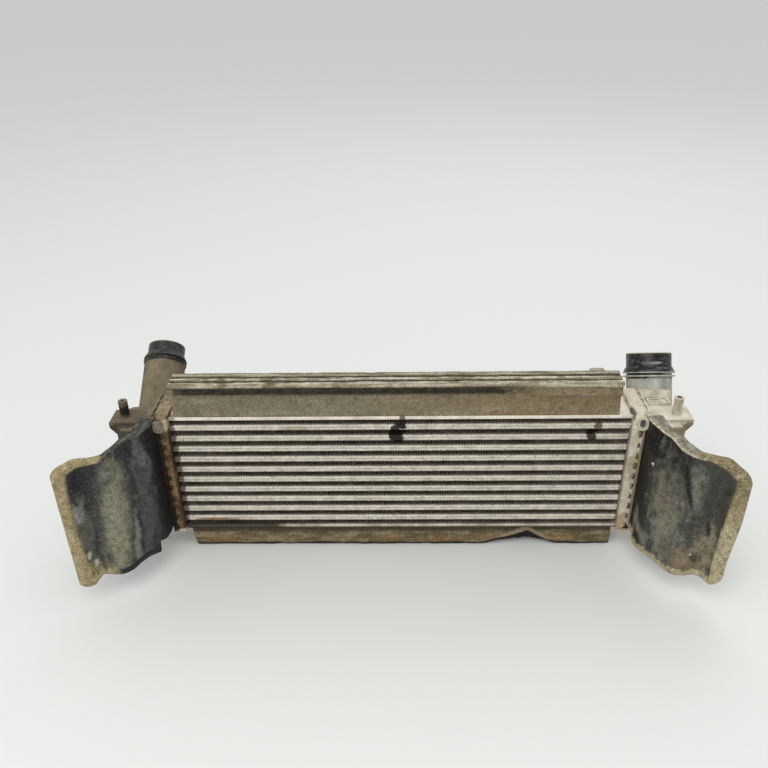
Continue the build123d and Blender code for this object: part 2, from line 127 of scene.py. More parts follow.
# %% Floor
FLOOR_RADIUS, FLOOR_LEVEL = 14.0, -0.2
disc = bmesh.new()
bmesh.ops.create_circle(disc, cap_ends=True, segments=96, radius=FLOOR_RADIUS)
floor = in_scene("floor", mesh_of(disc, "floor"))
floor.data.transform(Matrix.Translation((0, 0, FLOOR_LEVEL * MM)))
floor_finish = bpy.data.materials.new("pale_matt_floor")
floor_finish.use_nodes = True
floor_paint = floor_finish.node_tree.nodes["Principled BSDF"].inputs
floor_paint["Base Color"].default_value = linear("#E4E5E1")
floor_paint["Roughness"].default_value = 0.6
floor.data.materials.append(floor_finish)
print("floor radius in m:", FLOOR_RADIUS)

# %% Sky and lamps
world = bpy.data.worlds.new("soft_sky")
scene.world = world
world.use_nodes = True
sky = world.node_tree
sky.nodes.clear()
seen = add(sky, "LightPath").outputs
either = add(sky, "Math", "MAXIMUM", (seen["Is Camera Ray"], seen["Is Glossy Ray"]))
any_view = add(sky, "Math", "MAXIMUM", (either, seen["Is Transmission Ray"]))
glow = add(sky, "Background", Color=linear("#F4F6F8"), Strength=0.8)
wall = add(sky, "Background", Color=linear("#DCDCD8"), Strength=1.0)
add(sky, "OutputWorld", Surface=add(sky, "MixShader", None, (any_view, glow, wall)))

LIT_POINT = Vector((0, 0, 0.1))
for name, place, size, power in (
    ("softbox_front", (-0.5, -1.5, 2.2), 2.0, 31.0),
    ("softbox_back", (0.7, 1.5, 2.0), 1.6, 8.0),
):
    lamp = bpy.data.lights.new(name, "AREA")
    lamp.size = size
    lamp.energy = power
    turn = (LIT_POINT - Vector(place)).to_track_quat("-Z", "Y").to_matrix().to_4x4()
    in_scene(name, lamp).matrix_world = Matrix.Translation(place) @ turn
    print(name, "power in W:", power)

# %% [markdown]
# ## One weathered surface, many finishes
# Everything on this part is old, and old surfaces share a build-up: broad clouds of tone, a fine grain, dust
# where the surface faces up, small pits and local stains. Some of the local marks are painted light and shade
# instead: highlights on edges, and shade in slots and where parts meet. One function lays these down in that
# order. Each finish then only says what is special about it, with scales in millimetres taken from the real
# surface.

# %% Weathered surfaces
WEAR_AND_SHADING = "wear"
FRAY_SIZE = 14.0


def mark_mask(tree, point, place, size, ragged):
    """1 inside an ellipsoid given in millimetres, 0 outside, with an edge that a noise frays."""
    offset = add(tree, "VectorMath", "SUBTRACT", (point, [value * MM for value in place]))
    ratio = add(tree, "VectorMath", "DIVIDE", (offset, [value * MM for value in size]))
    reach = add(tree, "VectorMath", "LENGTH", (ratio,)).outputs["Value"]
    fray = add(tree, "TexNoise", Vector=point, Scale=1 / (FRAY_SIZE * MM), Detail=4.0)
    edge = add(tree, "Math", "MULTIPLY_ADD", (fray, ragged * 2, -ragged))
    total = add(tree, "Math", "ADD", (reach, edge))
    return add(tree, "MapRange", {"interpolation_type": "SMOOTHSTEP"}, (total, 0.75, 1.1, 1.0, 0.0))


def weathered(
    name, tones, cloud, grain_depth, grain=2.0, dust=None, rough=(0.6, 0.85), metallic=0.0, stretch=(1, 1, 1),
    bump=0.3, painted=False, pits=None, shine=0.25, stains_and_shading=(),
):
    """A material in layers: clouds between tones, grain, dust on what faces up, pits and stain marks. Sizes
    are in mm. Dust is a colour and its cover. Pits are small marks, given as size, colour, share and
    strength. A stain is a place, size, colour, strength and raggedness; some stain marks are painted
    highlights and shade.
    A painted surface takes its tones from the colours painted on its mesh, wear and painted shading alike,
    and the clouds only vary them. Dusty surfaces have half of a clean one's shine."""
    material = bpy.data.materials.new(name)
    material.use_nodes = True
    tree = material.node_tree
    tree.nodes.clear()
    point = add(tree, "TexCoord").outputs["Object"]
    drawn = add(tree, "Mapping", Vector=point, Scale=stretch)
    clouds = add(tree, "TexNoise", Vector=drawn, Scale=1 / (cloud * MM), Detail=7.0, Roughness=0.6)
    ramp = add(tree, "ValToRGB", None, (clouds,))
    stops = ramp.color_ramp.elements
    for count, tone in enumerate(tones):
        place = 0.3 + 0.4 * count / (len(tones) - 1)
        stop = stops[count] if count < 2 else stops.new(place)
        stop.position = place
        stop.color = linear(tone)
    colour = ramp
    if painted:
        paint = add(tree, "Attribute", {"attribute_name": WEAR_AND_SHADING})
        multiply = {"data_type": "RGBA", "blend_type": "MULTIPLY"}
        colour = add(tree, "Mix", multiply, {0: 1.0, 6: paint, 7: colour}).outputs[2]
    speck = add(tree, "TexNoise", Vector=point, Scale=1 / (grain * MM), Detail=3.0, Roughness=0.7)
    depth = add(tree, "MapRange", None, (speck, 0.3, 0.7, 1 - grain_depth, 1 + grain_depth))
    colour = add(tree, "VectorMath", "SCALE", (colour,), Scale=depth)
    layers = []
    if dust:
        normal = add(tree, "NewGeometry").outputs["Normal"]
        facing = add(tree, "SeparateXYZ", None, (normal,)).outputs["Z"]
        settled = add(tree, "MapRange", None, (facing, 0.1, 0.9, 0.0, dust[1]))
        patchy = add(tree, "MapRange", None, (clouds, 0.35, 0.6, 0.5, 1.0))
        layers.append((add(tree, "Math", "MULTIPLY", (settled, patchy)), dust[0]))
    if pits:
        size, tint, share, strength = pits
        spots = add(tree, "TexNoise", Vector=point, Scale=1 / (size * MM), Detail=2.0)
        start = 0.68 - 0.25 * share
        layers.append((add(tree, "MapRange", None, (spots, start, start + 0.08, 0.0, strength)), tint))
    # Stain marks carry real stains, and also some painted highlights and painted shade.
    for place, size, tint, strength, ragged in stains_and_shading:
        mask = mark_mask(tree, point, place, size, ragged)
        layers.append((add(tree, "Math", "MULTIPLY", (mask, strength)), tint))
    for weight, tint in layers:
        sides = {0: weight, 6: colour, 7: linear(tint)}
        colour = add(tree, "Mix", {"data_type": "RGBA"}, sides).outputs[2]
    roughness = add(tree, "MapRange", None, (speck, 0.3, 0.7, *rough))
    relief = add(tree, "Bump", Strength=bump, Distance=grain * 0.25 * MM, Height=speck)
    looks = {"Base Color": colour, "Specular IOR Level": shine}
    surface = add(tree, "BsdfPrincipled", None, looks, Roughness=roughness, Metallic=metallic, Normal=relief)
    add(tree, "OutputMaterial", Surface=surface)
    return material


# %% [markdown]
# ## Helpers for pieces
# A CAD node arrives as loose triangles. A copy of it is merged, flat areas are joined, and its edges are
# softened, because no moulded or pressed edge is knife-sharp. The soft edge is what catches the light.
# Other pieces are skins over a row of sections, or are grown by Geometry Nodes and then kept as plain meshes.

# %% Making and placing pieces
SAME_PLACE, FLAT_ANGLE = 0.002, 0.8


def keep(name, mesh, material, nodes):
    """Puts a finished mesh in the scene as a piece that stands for CAD nodes."""
    piece = in_scene(name, mesh)
    if material and not mesh.materials:
        mesh.materials.append(material)
    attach(piece, "root")
    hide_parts(*nodes)
    print(name, "triangles:", sum(len(face.vertices) - 2 for face in mesh.polygons))
    return piece


def applied(holder, name):
    """The mesh that an object's modifiers make. The object is taken away."""
    result = bpy.data.meshes.new_from_object(holder.evaluated_get(bpy.context.evaluated_depsgraph_get()))
    bpy.data.objects.remove(holder)
    result.name = name
    return result


def smooth(mesh, corner):
    """Shades a mesh smoothly, apart from edges that turn by more than so many degrees."""
    mesh.shade_smooth()
    mesh.set_sharp_from_angle(angle=radians(corner))
    return mesh


def softened(name, node, edge, corner=38.0):
    """A merged copy of a CAD node with edges rounded by so many millimetres."""
    shape = bmesh.new()
    shape.from_mesh(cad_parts[node].data)
    bmesh.ops.remove_doubles(shape, verts=shape.verts, dist=SAME_PLACE * MM)
    bmesh.ops.dissolve_limit(shape, angle_limit=radians(FLAT_ANGLE), verts=shape.verts, edges=shape.edges)
    blank = in_scene(name, mesh_of(shape, name))
    bevel = blank.modifiers.new("edges", "BEVEL")
    bevel.width = edge * MM
    bevel.segments = 2
    bevel.limit_method = "ANGLE"
    bevel.angle_limit = radians(corner)
    return smooth(applied(blank, name), corner)


def coat(mesh, colours):
    """Gives every vertex of a mesh its painted colour, under the name that the painted finishes read."""
    paint = mesh.color_attributes.new(WEAR_AND_SHADING, "FLOAT_COLOR", "POINT")
    paint.data.foreach_set("color", [value for colour in colours for value in colour])


def skin(name, stations, paint=None, turned=False, corner=50):
    """A skin over sections of equal count, given in millimetres. It is capped at both ends, or joined up."""
    shape = bmesh.new()
    rings = [[shape.verts.new(Vector(spot) * MM) for spot in station] for station in stations]
    for near, far in zip(rings, rings[1:] + (rings[:1] if turned else [])):
        for count in range(len(near)):
            after = (count + 1) % len(near)
            shape.faces.new((near[count], far[count], far[after], near[after]))
    if not turned:
        shape.faces.new(rings[0][::-1])
        shape.faces.new(rings[-1])
    bmesh.ops.recalc_face_normals(shape, faces=shape.faces)
    mesh = smooth(mesh_of(shape, name), corner)
    if paint:
        coat(mesh, [paint(vertex.co / MM) for vertex in mesh.vertices])
    return mesh


def grow(name, tree, sizes, seed_mesh=None):
    """Runs a Geometry Nodes tree once and keeps its result as a plain mesh."""
    holder = in_scene(name, seed_mesh or bpy.data.meshes.new(name))
    modifier = holder.modifiers.new(name, "NODES")
    modifier.node_group = tree
    for item in tree.interface.items_tree:
        if item.in_out == "INPUT" and item.name in sizes:
            modifier[item.identifier] = sizes[item.name]
    return applied(holder, name)


def node_tree(name, inputs, takes_mesh=False):
    """An empty Geometry Nodes tree with named inputs and their first values. A material's is None."""
    kinds = {float: "Float", int: "Int", type(None): "Material"}
    tree = bpy.data.node_groups.new(name, "GeometryNodeTree")
    tree.interface.new_socket("Geometry", in_out="OUTPUT", socket_type="NodeSocketGeometry")
    if takes_mesh:
        tree.interface.new_socket("Geometry", in_out="INPUT", socket_type="NodeSocketGeometry")
    for title, value in inputs.items():
        kind = "NodeSocket" + kinds[type(value)]
        socket = tree.interface.new_socket(title, in_out="INPUT", socket_type=kind)
        if value is not None:
            socket.default_value = value
    return tree, add(tree, "NodeGroupInput").outputs


# %% [markdown]
# ## Helpers for soft forms, painted wear and painted shading
# Foam and moulded sheet have rounded sections, and their dirt lies in bands and patches that follow the
# piece. It is easiest to paint such wear on the mesh, together with some painted light and shade. Small
# functions mix colours, read tables and fray the edges of a patch.

# %% Soft forms and painting


def rounded(corners, times=2):
    """A closed outline with its corners cut off again and again, so that it looks round."""
    for _ in range(times):
        cut = []
        for here, after in zip(corners, corners[1:] + corners[:1]):
            cut.append(tuple(0.8 * a + 0.2 * b for a, b in zip(here, after)))
            cut.append(tuple(0.2 * a + 0.8 * b for a, b in zip(here, after)))
        corners = cut
    return corners


def mixed(under, over, weight):
    """Two colours mixed. Each is linear, or is written as a hex value."""
    under, over = [linear(colour) if isinstance(colour, str) else colour for colour in (under, over)]
    return [a + (b - a) * weight for a, b in zip(under, over)]


def between(value, table):
    """A value read off a table of (place, value) pairs by straight lines."""
    for (x0, y0), (x1, y1) in zip(table, table[1:]):
        if value <= x1:
            return y0 + (y1 - y0) * max(0.0, (value - x0) / (x1 - x0))
    return table[-1][1]


def ease(value, start, end):
    """0 before start, 1 after end, and smooth between."""
    share = min(1.0, max(0.0, (value - start) / (end - start)))
    return share * share * (3 - 2 * share)


def fade(value, start, end):
    """1 before start, 0 after end, and smooth between."""
    return 1 - ease(value, start, end)


def torn(point, size, stretch=1.0):
    """Noise in layers at a place in mm. A stretch above 1 draws it out up and down, as dirt runs."""
    spot = Vector((point.x, point.y, point.z / stretch)) / size
    return noise.noise(spot) + 0.5 * noise.noise(spot * 2.1) + 0.25 * noise.noise(spot * 4.3)


# %% [markdown]
# ## Cooling fins
# A fin row is one strip of thin aluminium, folded to and fro like a bellows and brazed between two tubes.
# There are eleven rows of some three hundred and sixty walls, far too many to place by hand. Geometry Nodes
# make one strip from a finely divided flat box, lift every second fold line, and repeat the strip up the
# core. A little noise afterwards bends the folds out of true, as years of stones and brushes do. The
# repeating and bending is a function, because the tubes go through the same steps.

# %% Rows up the core
CORE_WIDTH = 541.0
ROW_PITCH = 15.0


def end_with_rows(tree, inputs, shape, spread, amount, **noise_sockets):
    """Repeats a shape up the core, moves its points by a noise, gives it its finish and ends the tree."""
    first = add(tree, "CombineXYZ", Z=inputs["First level"])
    step = add(tree, "CombineXYZ", Z=inputs["Row pitch"])
    line = {"Count": inputs["Rows"], "Start Location": first, "Offset": step}
    rows = add(tree, "GeometryNodeMeshLine", None, line)
    placed = add(tree, "GeometryNodeInstanceOnPoints", Points=rows, Instance=shape)
    real = add(tree, "GeometryNodeRealizeInstances", Geometry=placed)
    wander = add(tree, "TexNoise", {"noise_dimensions": "4D"}, **noise_sockets).outputs["Color"]
    about_nil = add(tree, "VectorMath", "SUBTRACT", (wander, (0.5, 0.5, 0.5)))
    directed = add(tree, "VectorMath", "MULTIPLY", (about_nil, spread))
    shift = add(tree, "VectorMath", "SCALE", (directed,), Scale=amount)
    moved = add(tree, "GeometryNodeSetPosition", Geometry=real, Offset=shift)
    dressed = add(tree, "GeometryNodeSetMaterial", Geometry=moved, Material=inputs["Finish"])
    add(tree, "NodeGroupOutput", None, (dressed,))


# %% Fin rows
FIN_WALLS, FIN_END_GAP = 360, 4.0
EVEN_COUNT = 1000.0  # lifts the count of every fold line above zero, so that odd ones are found on both sides
fin_tree, fin_in = node_tree(
    "folded_fin_rows",
    {
        "Width": CORE_WIDTH * MM, "Depth": 51 * MM, "Height": 7.4 * MM, "Sheet": 0.35 * MM,
        "Walls": FIN_WALLS, "Rows": 11, "Row pitch": ROW_PITCH * MM, "First level": 39.95 * MM,
        "Unevenness": 1.1 * MM, "Finish": None,
    },
)
flat_size = add(fin_tree, "CombineXYZ", None, (fin_in["Width"], fin_in["Depth"], fin_in["Sheet"]))
fold_lines = add(fin_tree, "Math", "ADD", (fin_in["Walls"], 1.0))
flat = add(fin_tree, "GeometryNodeMeshCube", None, (flat_size, fold_lines, 3, 2))
where = add(fin_tree, "SeparateXYZ", None, (add(fin_tree, "GeometryNodeInputPosition"),))
share = add(fin_tree, "Math", "DIVIDE", (where, fin_in["Width"]))
counted = add(fin_tree, "Math", "MULTIPLY_ADD", (share, fin_in["Walls"], EVEN_COUNT))
odd = add(fin_tree, "Math", "MODULO", (add(fin_tree, "Math", "ROUND", (counted,)), 2.0))
swing = add(fin_tree, "Math", "SUBTRACT", (fin_in["Height"], fin_in["Sheet"]))
centred = add(fin_tree, "Math", "SUBTRACT", (odd, 0.5))
lift = add(fin_tree, "Math", "MULTIPLY", (centred, swing))
lifted = add(fin_tree, "CombineXYZ", Z=lift)
fold = add(fin_tree, "GeometryNodeSetPosition", Geometry=flat, Offset=lifted)
end_with_rows(fin_tree, fin_in, fold, (1.0, 0.7, 0.1), fin_in["Unevenness"], W=7.0, Scale=160.0, Detail=2.0)

# Rolled aluminium strip under baked-on dirt: brown-grey and dull. Its paler front edges are partly dust and
# partly a painted highlight where the lit edges glint.
fin_finish = weathered(
    "dirty_rolled_aluminium", ("#3A332B", "#6B6357", "#A49C8E"), cloud=22, grain=1.6, grain_depth=0.35,
    rough=(0.5, 0.8), metallic=0.25,
    stains_and_shading=(
        # Pale band on the front edges of the fins: dust, and a painted highlight of the lit edges.
        ((0, -30, 115), (2500, 5.0, 2500), "#A79E90", 0.85, 0.2),
        ((0, -27, 175), (9, 30, 14), "#17130F", 0.9, 0.9),
        ((228, -27, 175), (8, 30, 12), "#1C1712", 0.8, 0.9),
    ),
)
fin_values = {
    "Finish": fin_finish,
    "Width": (CORE_WIDTH - 2 * FIN_END_GAP) * MM,
    "Walls": round(FIN_WALLS * (1 - 2 * FIN_END_GAP / CORE_WIDTH)),
}
fins = grow("fin_rows", fin_tree, fin_values)
keep("fin_rows", fins, fin_finish, [f"fin_{row:02d}" for row in range(1, 12)])

# %% [markdown]
# ## Tubes
# Each tube is folded from sheet, so its front edge is two small rolls with a seam between them. That pair of
# rolls gives the two bright lines that every tube shows from in front. One tube is skinned over a section
# with that seam, and Geometry Nodes repeat it up the core and put a few dents into it.

# %% Tubes
TUBE_SECTION = (
    (-26.2, 0.0), (-26.75, 0.7), (-27.0, 1.6), (-26.8, 2.6), (-26.1, 3.35), (-24.8, 3.7), (-22.0, 3.75),
    (22.0, 3.75), (24.8, 3.7), (26.1, 3.35), (26.8, 2.6), (27.0, 1.6), (26.75, 0.7), (26.2, 0.0),
)
TUBE_END, TUBE_STATIONS = 273.1, 150
ring = list(TUBE_SECTION) + [(y, -z) for y, z in TUBE_SECTION[-2:0:-1]]
tube_places = [-TUBE_END + 2 * TUBE_END * count / TUBE_STATIONS for count in range(TUBE_STATIONS + 1)]
one_tube = skin("tube", [[(x, y, z) for y, z in ring] for x in tube_places])
tube_tree, tube_in = node_tree(
    "tube_rows",
    {"Rows": 10, "Row pitch": ROW_PITCH * MM, "First level": 47.45 * MM, "Dents": 0.5 * MM, "Finish": None},
    takes_mesh=True,
)
dents = tube_in["Dents"]
end_with_rows(tube_tree, tube_in, tube_in["Geometry"], (0.0, 2.0, 0.5), dents, W=3.0, Scale=55.0, Detail=3.0)

# Brazed aluminium dulled by flux and dust: pale warm grey, speckled, corroded brown at the lower left.
tube_finish = weathered(
    "brazed_aluminium_under_dust", ("#A39D90", "#BFB9AC", "#D2CCC0"), cloud=9, grain_depth=0.3,
    dust=("#E2DCCF", 0.6), rough=(0.42, 0.7), metallic=0.3, stretch=(0.7, 1, 1),
    pits=(2.4, "#6F675A", 0.28, 0.75),
    stains_and_shading=(
        ((-228, -27, 44.6), (40, 20, 3.4), "#7A5A38", 0.85, 0.6),
        ((-269, -27, 115), (6, 30, 95), "#52422F", 0.85, 0.5),
        ((271, -27, 115), (4, 30, 95), "#55493A", 0.7, 0.5),
        ((4.5, -27, 185), (5.5, 12, 5), "#17120D", 0.98, 1.1),
        ((-4, -27, 182), (6, 12, 5), "#17120D", 0.95, 1.1),
        ((-3, -27, 168), (9, 12, 6), "#17120D", 0.98, 1.1),
        ((231, -27, 183), (6, 12, 4.5), "#4A3A2A", 0.85, 1.2),
        ((226, -27, 168), (8, 12, 5), "#2E241B", 0.95, 1.2),
        ((205, -27, 190), (60, 10, 5), "#8B6A42", 0.45, 0.8),
        ((-120, -27, 181), (14, 10, 5), "#8E7D55", 0.5, 0.9),
    ),
)
tubes = grow("tube_rows", tube_tree, {"Finish": tube_finish}, one_tube)
keep("tube_rows", tubes, tube_finish, [f"tube_{row:02d}" for row in range(1, 11)])

# %% [markdown]
# ## Side plates and header trays
# The plates that close the core above and below, and the trays at its ends, are pressed from aluminium
# sheet. Their CAD shape is right, so they keep it and only get softened edges. The trays have aged very
# differently: the right one is caked in pale dust, and the left one is corroded to a rusty brown. The slots
# of the crimped edge repeat up each tray, and so do the dark rings of painted shade round them. A dark band
# of painted shade runs down each tray's outer edge, at the gap to the guide.

# %% Side plates
plate_finish = weathered(
    "pressed_aluminium_plate", ("#C6BCAB", "#E6DDCE", "#F0EADD"), cloud=18, grain_depth=0.15,
    dust=("#EDE5D6", 0.7), rough=(0.5, 0.75), metallic=0.2,
    stains_and_shading=(
        ((4, -27, 196), (4, 8, 6), "#3A2E22", 0.8, 0.6),
        ((-268, -27, 197), (7, 14, 6), "#6E5638", 0.6, 0.8),
    ),
)
plate_dark = weathered(
    "pressed_aluminium_plate_below", ("#8C816D", "#C6BDAA", "#DFD7C7"), cloud=30, grain=1.2, grain_depth=0.2,
    rough=(0.5, 0.8), metallic=0.2,
    stains_and_shading=(
        # A band along the lower front in the seal's olive-brown: painted shade where the plate meets the
        # seal, with dirt.
        ((0, -27, 31.0), (1600, 8, 3.5), "#4D4536", 0.95, 0.1),
        ((-225, -27, 35), (85, 40, 9), "#332A1F", 0.9, 0.4),
    ),
)
for place, finish in (("top", plate_finish), ("bottom", plate_dark)):
    plate, node = place + "_plate", place + "_side_plate"
    keep(plate, softened(plate, node, 0.4), finish, [node])

# %% Header trays
SLOT_X, SLOT_FIRST, SLOT_PITCH = 280.0, 40.0, 15.0
slot_levels = [SLOT_FIRST + SLOT_PITCH * step for step in range(10)]
tray_right_finish = weathered(
    "aluminium_tray_pale_dust", ("#A1967F", "#C7BDA7", "#DAD1BD"), cloud=14, grain_depth=0.2,
    dust=("#D6CDB9", 0.7), metallic=0.1, pits=(4.0, "#7E6748", 0.3, 0.5),
    stains_and_shading=(
        # Dark band down the outer edge, by the guide: painted shade of the gap.
        ((285, -33, 115), (4.0, 12, 100), "#7A6A50", 0.75, 0.5),
        ((276, -33, 42), (9, 12, 22), "#A08055", 0.5, 0.9),
        ((278, -33, 130), (6, 12, 20), "#A5875C", 0.4, 0.9),
        ((271, -25, 199), (3.5, 14, 8), "#3B2A1F", 0.8, 0.7),
        # Dark rings round the slots: painted shade, which makes the narrow slots read as deep.
        *(((SLOT_X + 0.3, -33, level), (1.9, 8, 4.8), "#14110D", 0.98, 0.7) for level in slot_levels),
    ),
)
tray_left_finish = weathered(
    "aluminium_tray_corroded", ("#35281C", "#70573B", "#9C7D5A"), cloud=12, grain=2.2, grain_depth=0.45,
    dust=("#A89B80", 0.6), rough=(0.6, 0.9), metallic=0.1, stretch=(1, 1, 0.7),
    pits=(3.6, "#2A1E15", 0.55, 0.6),
    stains_and_shading=(
        # Dark band down the outer edge, by the guide: painted shade of the gap.
        ((-284.5, -33, 112), (4.8, 12, 105), "#241B14", 0.9, 0.6),
        ((-270.5, -33, 112), (2.0, 12, 105), "#2A1F16", 0.8, 0.6),
        ((-274, -33, 60), (5, 12, 22), "#4A3826", 0.7, 1.0),
        ((-275, -33, 125), (4, 12, 20), "#7E7350", 0.4, 1.2),
        ((-274, -33, 189), (6, 12, 9), "#B9A98B", 0.8, 0.8),
        ((-272, -33, 31), (8, 10, 5), "#CFC3A8", 0.9, 0.6),
        # Dark rings round the slots: painted shade, which makes the narrow slots read as deep.
        *(((-SLOT_X, -33, level), (3.0, 8, 4.6), "#100D0A", 0.98, 0.6) for level in slot_levels),
        *(((-SLOT_X + 4, -33, level + 6), (2.4, 8, 2.2), "#8E7252", 0.5, 1.6) for level in slot_levels),
    ),
)
slot_dark = weathered(
    "shadowed_crimp_slot", ("#0F0C09", "#1E1812", "#33291E"), cloud=4, grain=1.0, grain_depth=0.2
)
for side, finish in (("right", tray_right_finish), ("left", tray_left_finish)):
    tray = softened("tray_" + side, side + "_header", 0.4)
    tray.materials.append(finish)
    tray.materials.append(slot_dark)
    for face in tray.polygons:
        x, y, z = face.center / MM
        off_slot = abs((z - SLOT_FIRST + SLOT_PITCH / 2) % SLOT_PITCH - SLOT_PITCH / 2)
        face.material_index = int(abs(abs(x) - SLOT_X) < 1.5 and off_slot < 4.0 and SLOT_FIRST - 5 < z < 180)
    keep("tray_" + side, tray, None, [side + "_header"])

# %% [markdown]
# ## Gaskets
# A rubber ring lies in each tray, under the tank's foot. It is shut in and its CAD shape is right, so it is
# left as it is and only gets its finish: matt black rubber.

# %% Gaskets
rubber = weathered(
    "black_gasket_rubber", ("#161616", "#1E1E1D", "#262625"), cloud=12, grain=0.8, grain_depth=0.1,
    rough=(0.7, 0.85),
)
for side in ("left", "right"):
    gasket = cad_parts[side + "_gasket"].data
    gasket.materials.clear()
    gasket.materials.append(rubber)
    print(side, "gasket dressed")

# %% [markdown]
# ## End tanks
# The tanks are injection-moulded in glass-filled nylon, which is black when new. Pale dust has baked on to
# the right one and brown dust on to the left one. Their CAD shape is right, and only its edges are softened.

# %% Tanks
tank_right_finish = weathered(
    "nylon_under_cream_dust", ("#8F8773", "#B8B09C", "#D6CFBC"), cloud=16, grain=2.2, grain_depth=0.18,
    dust=("#E4DCC9", 0.75), pits=(4.0, "#7D705A", 0.3, 0.35), rough=(0.65, 0.9), bump=0.15,
    stains_and_shading=(
        ((338, -20, 171), (27, 12, 11.5), "#837A60", 0.8, 0.8),
        ((335, -22, 174), (7, 12, 6), "#7B5F45", 0.6, 1.6),
        ((345, -18, 174), (8, 12, 7), "#78765A", 0.5, 1.6),
        ((300, 20, 200), (14, 20, 8), "#8A7D63", 0.5, 1.0),
        ((330, -1, 206), (3.2, 3.2, 3.0), "#241F1A", 0.95, 0.1),
        ((330, -7, 196), (3, 3, 9), "#8E8673", 0.6, 0.6),
    ),
)
tank_left_finish = weathered(
    "nylon_under_brown_dust", ("#4B4336", "#645946", "#7F7259"), cloud=22, grain=2.2, grain_depth=0.25,
    dust=("#8F8166", 0.6), pits=(3.0, "#2B251D", 0.3, 0.4), rough=(0.6, 0.9), bump=0.15,
    stains_and_shading=(
        ((-330, -1, 194), (8, 8, 11), "#1A1916", 1.0, 0.1),
        ((-330, -1, 207.5), (6, 6, 2.5), "#8C8374", 0.6, 0.5),
        ((-330, -18, 170), (30, 9, 16), "#332C25", 0.8, 0.4),
        ((-328, -3, 184), (28, 26, 3.5), "#5A4E42", 0.7, 0.4),
        ((-310, 92, 178), (30, 20, 12), "#A29578", 0.5, 0.6),
    ),
)
for side, finish in (("right", tank_right_finish), ("left", tank_left_finish)):
    keep("tank_" + side, softened("tank_" + side, side + "_tank", 0.5), finish, [side + "_tank"])

# %% [markdown]
# ## Spigots
# A spigot is where the charge-air hose is pushed on. Its double collar, the ramp above it and the plain end
# are turned shapes, so they are made as on a lathe: one outline goes round the leaning axis. The plain end
# has stayed black and a little glossy, because the hose covered it until it was pulled off.

# %% Spigot shapes
LATHE_STEPS = 96
SPIGOT_START = -16.0


def lathe(name, outline, place, axis):
    """A closed outline of (radius, height) points in millimetres, turned about an axis that leans back."""
    side = Vector((1, 0, 0))
    depth = axis.cross(side)
    stations = []
    for count in range(LATHE_STEPS):
        angle = 2 * pi * count / LATHE_STEPS
        ray = side * cos(angle) + depth * sin(angle)
        stations.append([Vector(place) + ray * radius + axis * height for radius, height in outline])
    return skin(name, stations, turned=True, corner=40)


def spigot_outline(end, neck, bore, length):
    """Skin of a spigot: neck, double collar, ramp, plain end and bore. The collar stands 4 mm proud."""
    ring = end + 4.1
    tip = 12.4 + length
    return [
        (neck, SPIGOT_START), (neck, -2.3), (neck + 0.6, -0.2), (ring - 0.3, 0.0), (ring, 0.4), (ring, 1.4),
        (ring - 0.3, 1.8), (end + 0.6, 1.9), (end + 0.15, 2.4), (end + 0.15, 4.0), (end + 0.6, 4.6),
        (ring - 0.3, 4.6), (ring, 4.9), (ring - 0.1, 5.9), (end + 1.4, 11.2), (end + 0.4, 12.3),
        (end + 0.1, 13.2), (end + 0.1, tip - 1.4), (end - 0.25, tip - 0.4), (end - 0.9, tip),
        (bore + 0.8, tip), (bore + 0.1, tip - 0.6), (bore - 0.1, tip - 2.0), (bore - 0.1, SPIGOT_START),
    ]


# %% Spigots
# Glossy black nylon with the brown smear that a pulled-off hose leaves, and grey-blue streaks. The thin
# grey-blue band across the middle of its front is a painted highlight.
cap_right = weathered(
    "black_nylon_under_the_hose", ("#040504", "#101110", "#5C6062"), cloud=7, grain_depth=0.2, shine=0.35,
    rough=(0.22, 0.45), stretch=(0.4, 1.6, 1.6), bump=0.1,
    stains_and_shading=(
        ((333, 56, 209), (12, 14, 3.5), "#8B7563", 0.6, 0.9),
        ((322, 50, 206), (20, 14, 3.0), "#A3A49C", 0.65, 0.9),
        # A thin grey-blue band across the middle of the front: a painted highlight.
        ((313, 62, 222), (12, 12, 2.0), "#9A9DA0", 0.6, 0.9),
    ),
)
cap_left = weathered(
    "black_nylon_cap", ("#0A0B0A", "#191A19", "#454846"), cloud=9, grain_depth=0.2, shine=0.35,
    dust=("#5E605B", 0.15), rough=(0.35, 0.55), bump=0.1,
)
# The right neck is paler and greyer than its tank, because rain runs off it.
neck_right = weathered(
    "nylon_neck_washed_by_rain", ("#77776C", "#A3A296", "#C6C4B8"), cloud=15, grain_depth=0.12,
    rough=(0.5, 0.75), stretch=(1.6, 0.5, 0.5), bump=0.15,
    stains_and_shading=(
        ((322, 50, 172), (1.6, 22, 26), "#77766C", 0.6, 0.1),
        ((314, 45, 160), (26, 20, 7), "#8A8370", 0.5, 0.7),
    ),
)
# Each spigot: place, lean, outer radii of end and neck, bore, length, and the height where the black starts.
SPIGOTS = (
    ("right", (314.6, 69.0, 194.2), 30.0, (27.2, 27.6, 24.2, 17.5), 5.6, neck_right, cap_right),
    ("left", (-310.0, 112.5, 192.2), 53.0, (23.5, 26.1, 20.5, 13.5), -0.6, tank_left_finish, cap_left),
)
for side, place, lean, sizes, black_from, neck_finish, cap_finish in SPIGOTS:
    axis = Vector((0, sin(radians(lean)), cos(radians(lean))))
    outline = spigot_outline(*sizes)
    mesh = lathe("spigot_" + side, outline, place, axis)
    mesh.materials.append(neck_finish)
    mesh.materials.append(cap_finish)
    widest = max(radius for radius, height in outline)
    # The plain end, the groove between the collar rings and a thin ring just under the collar get the black
    # finish. That thin ring is a painted shadow under the collar.
    for face in mesh.polygons:
        offset = face.center / MM - Vector(place)
        height = offset.dot(axis)
        groove = 1.85 < height < 4.6 and (offset - axis * height).length < widest - 0.5
        face.material_index = int(height > black_from or groove or -1.5 < height < -0.05)
    keep("spigot_" + side, mesh, None, [side + "_tank"])

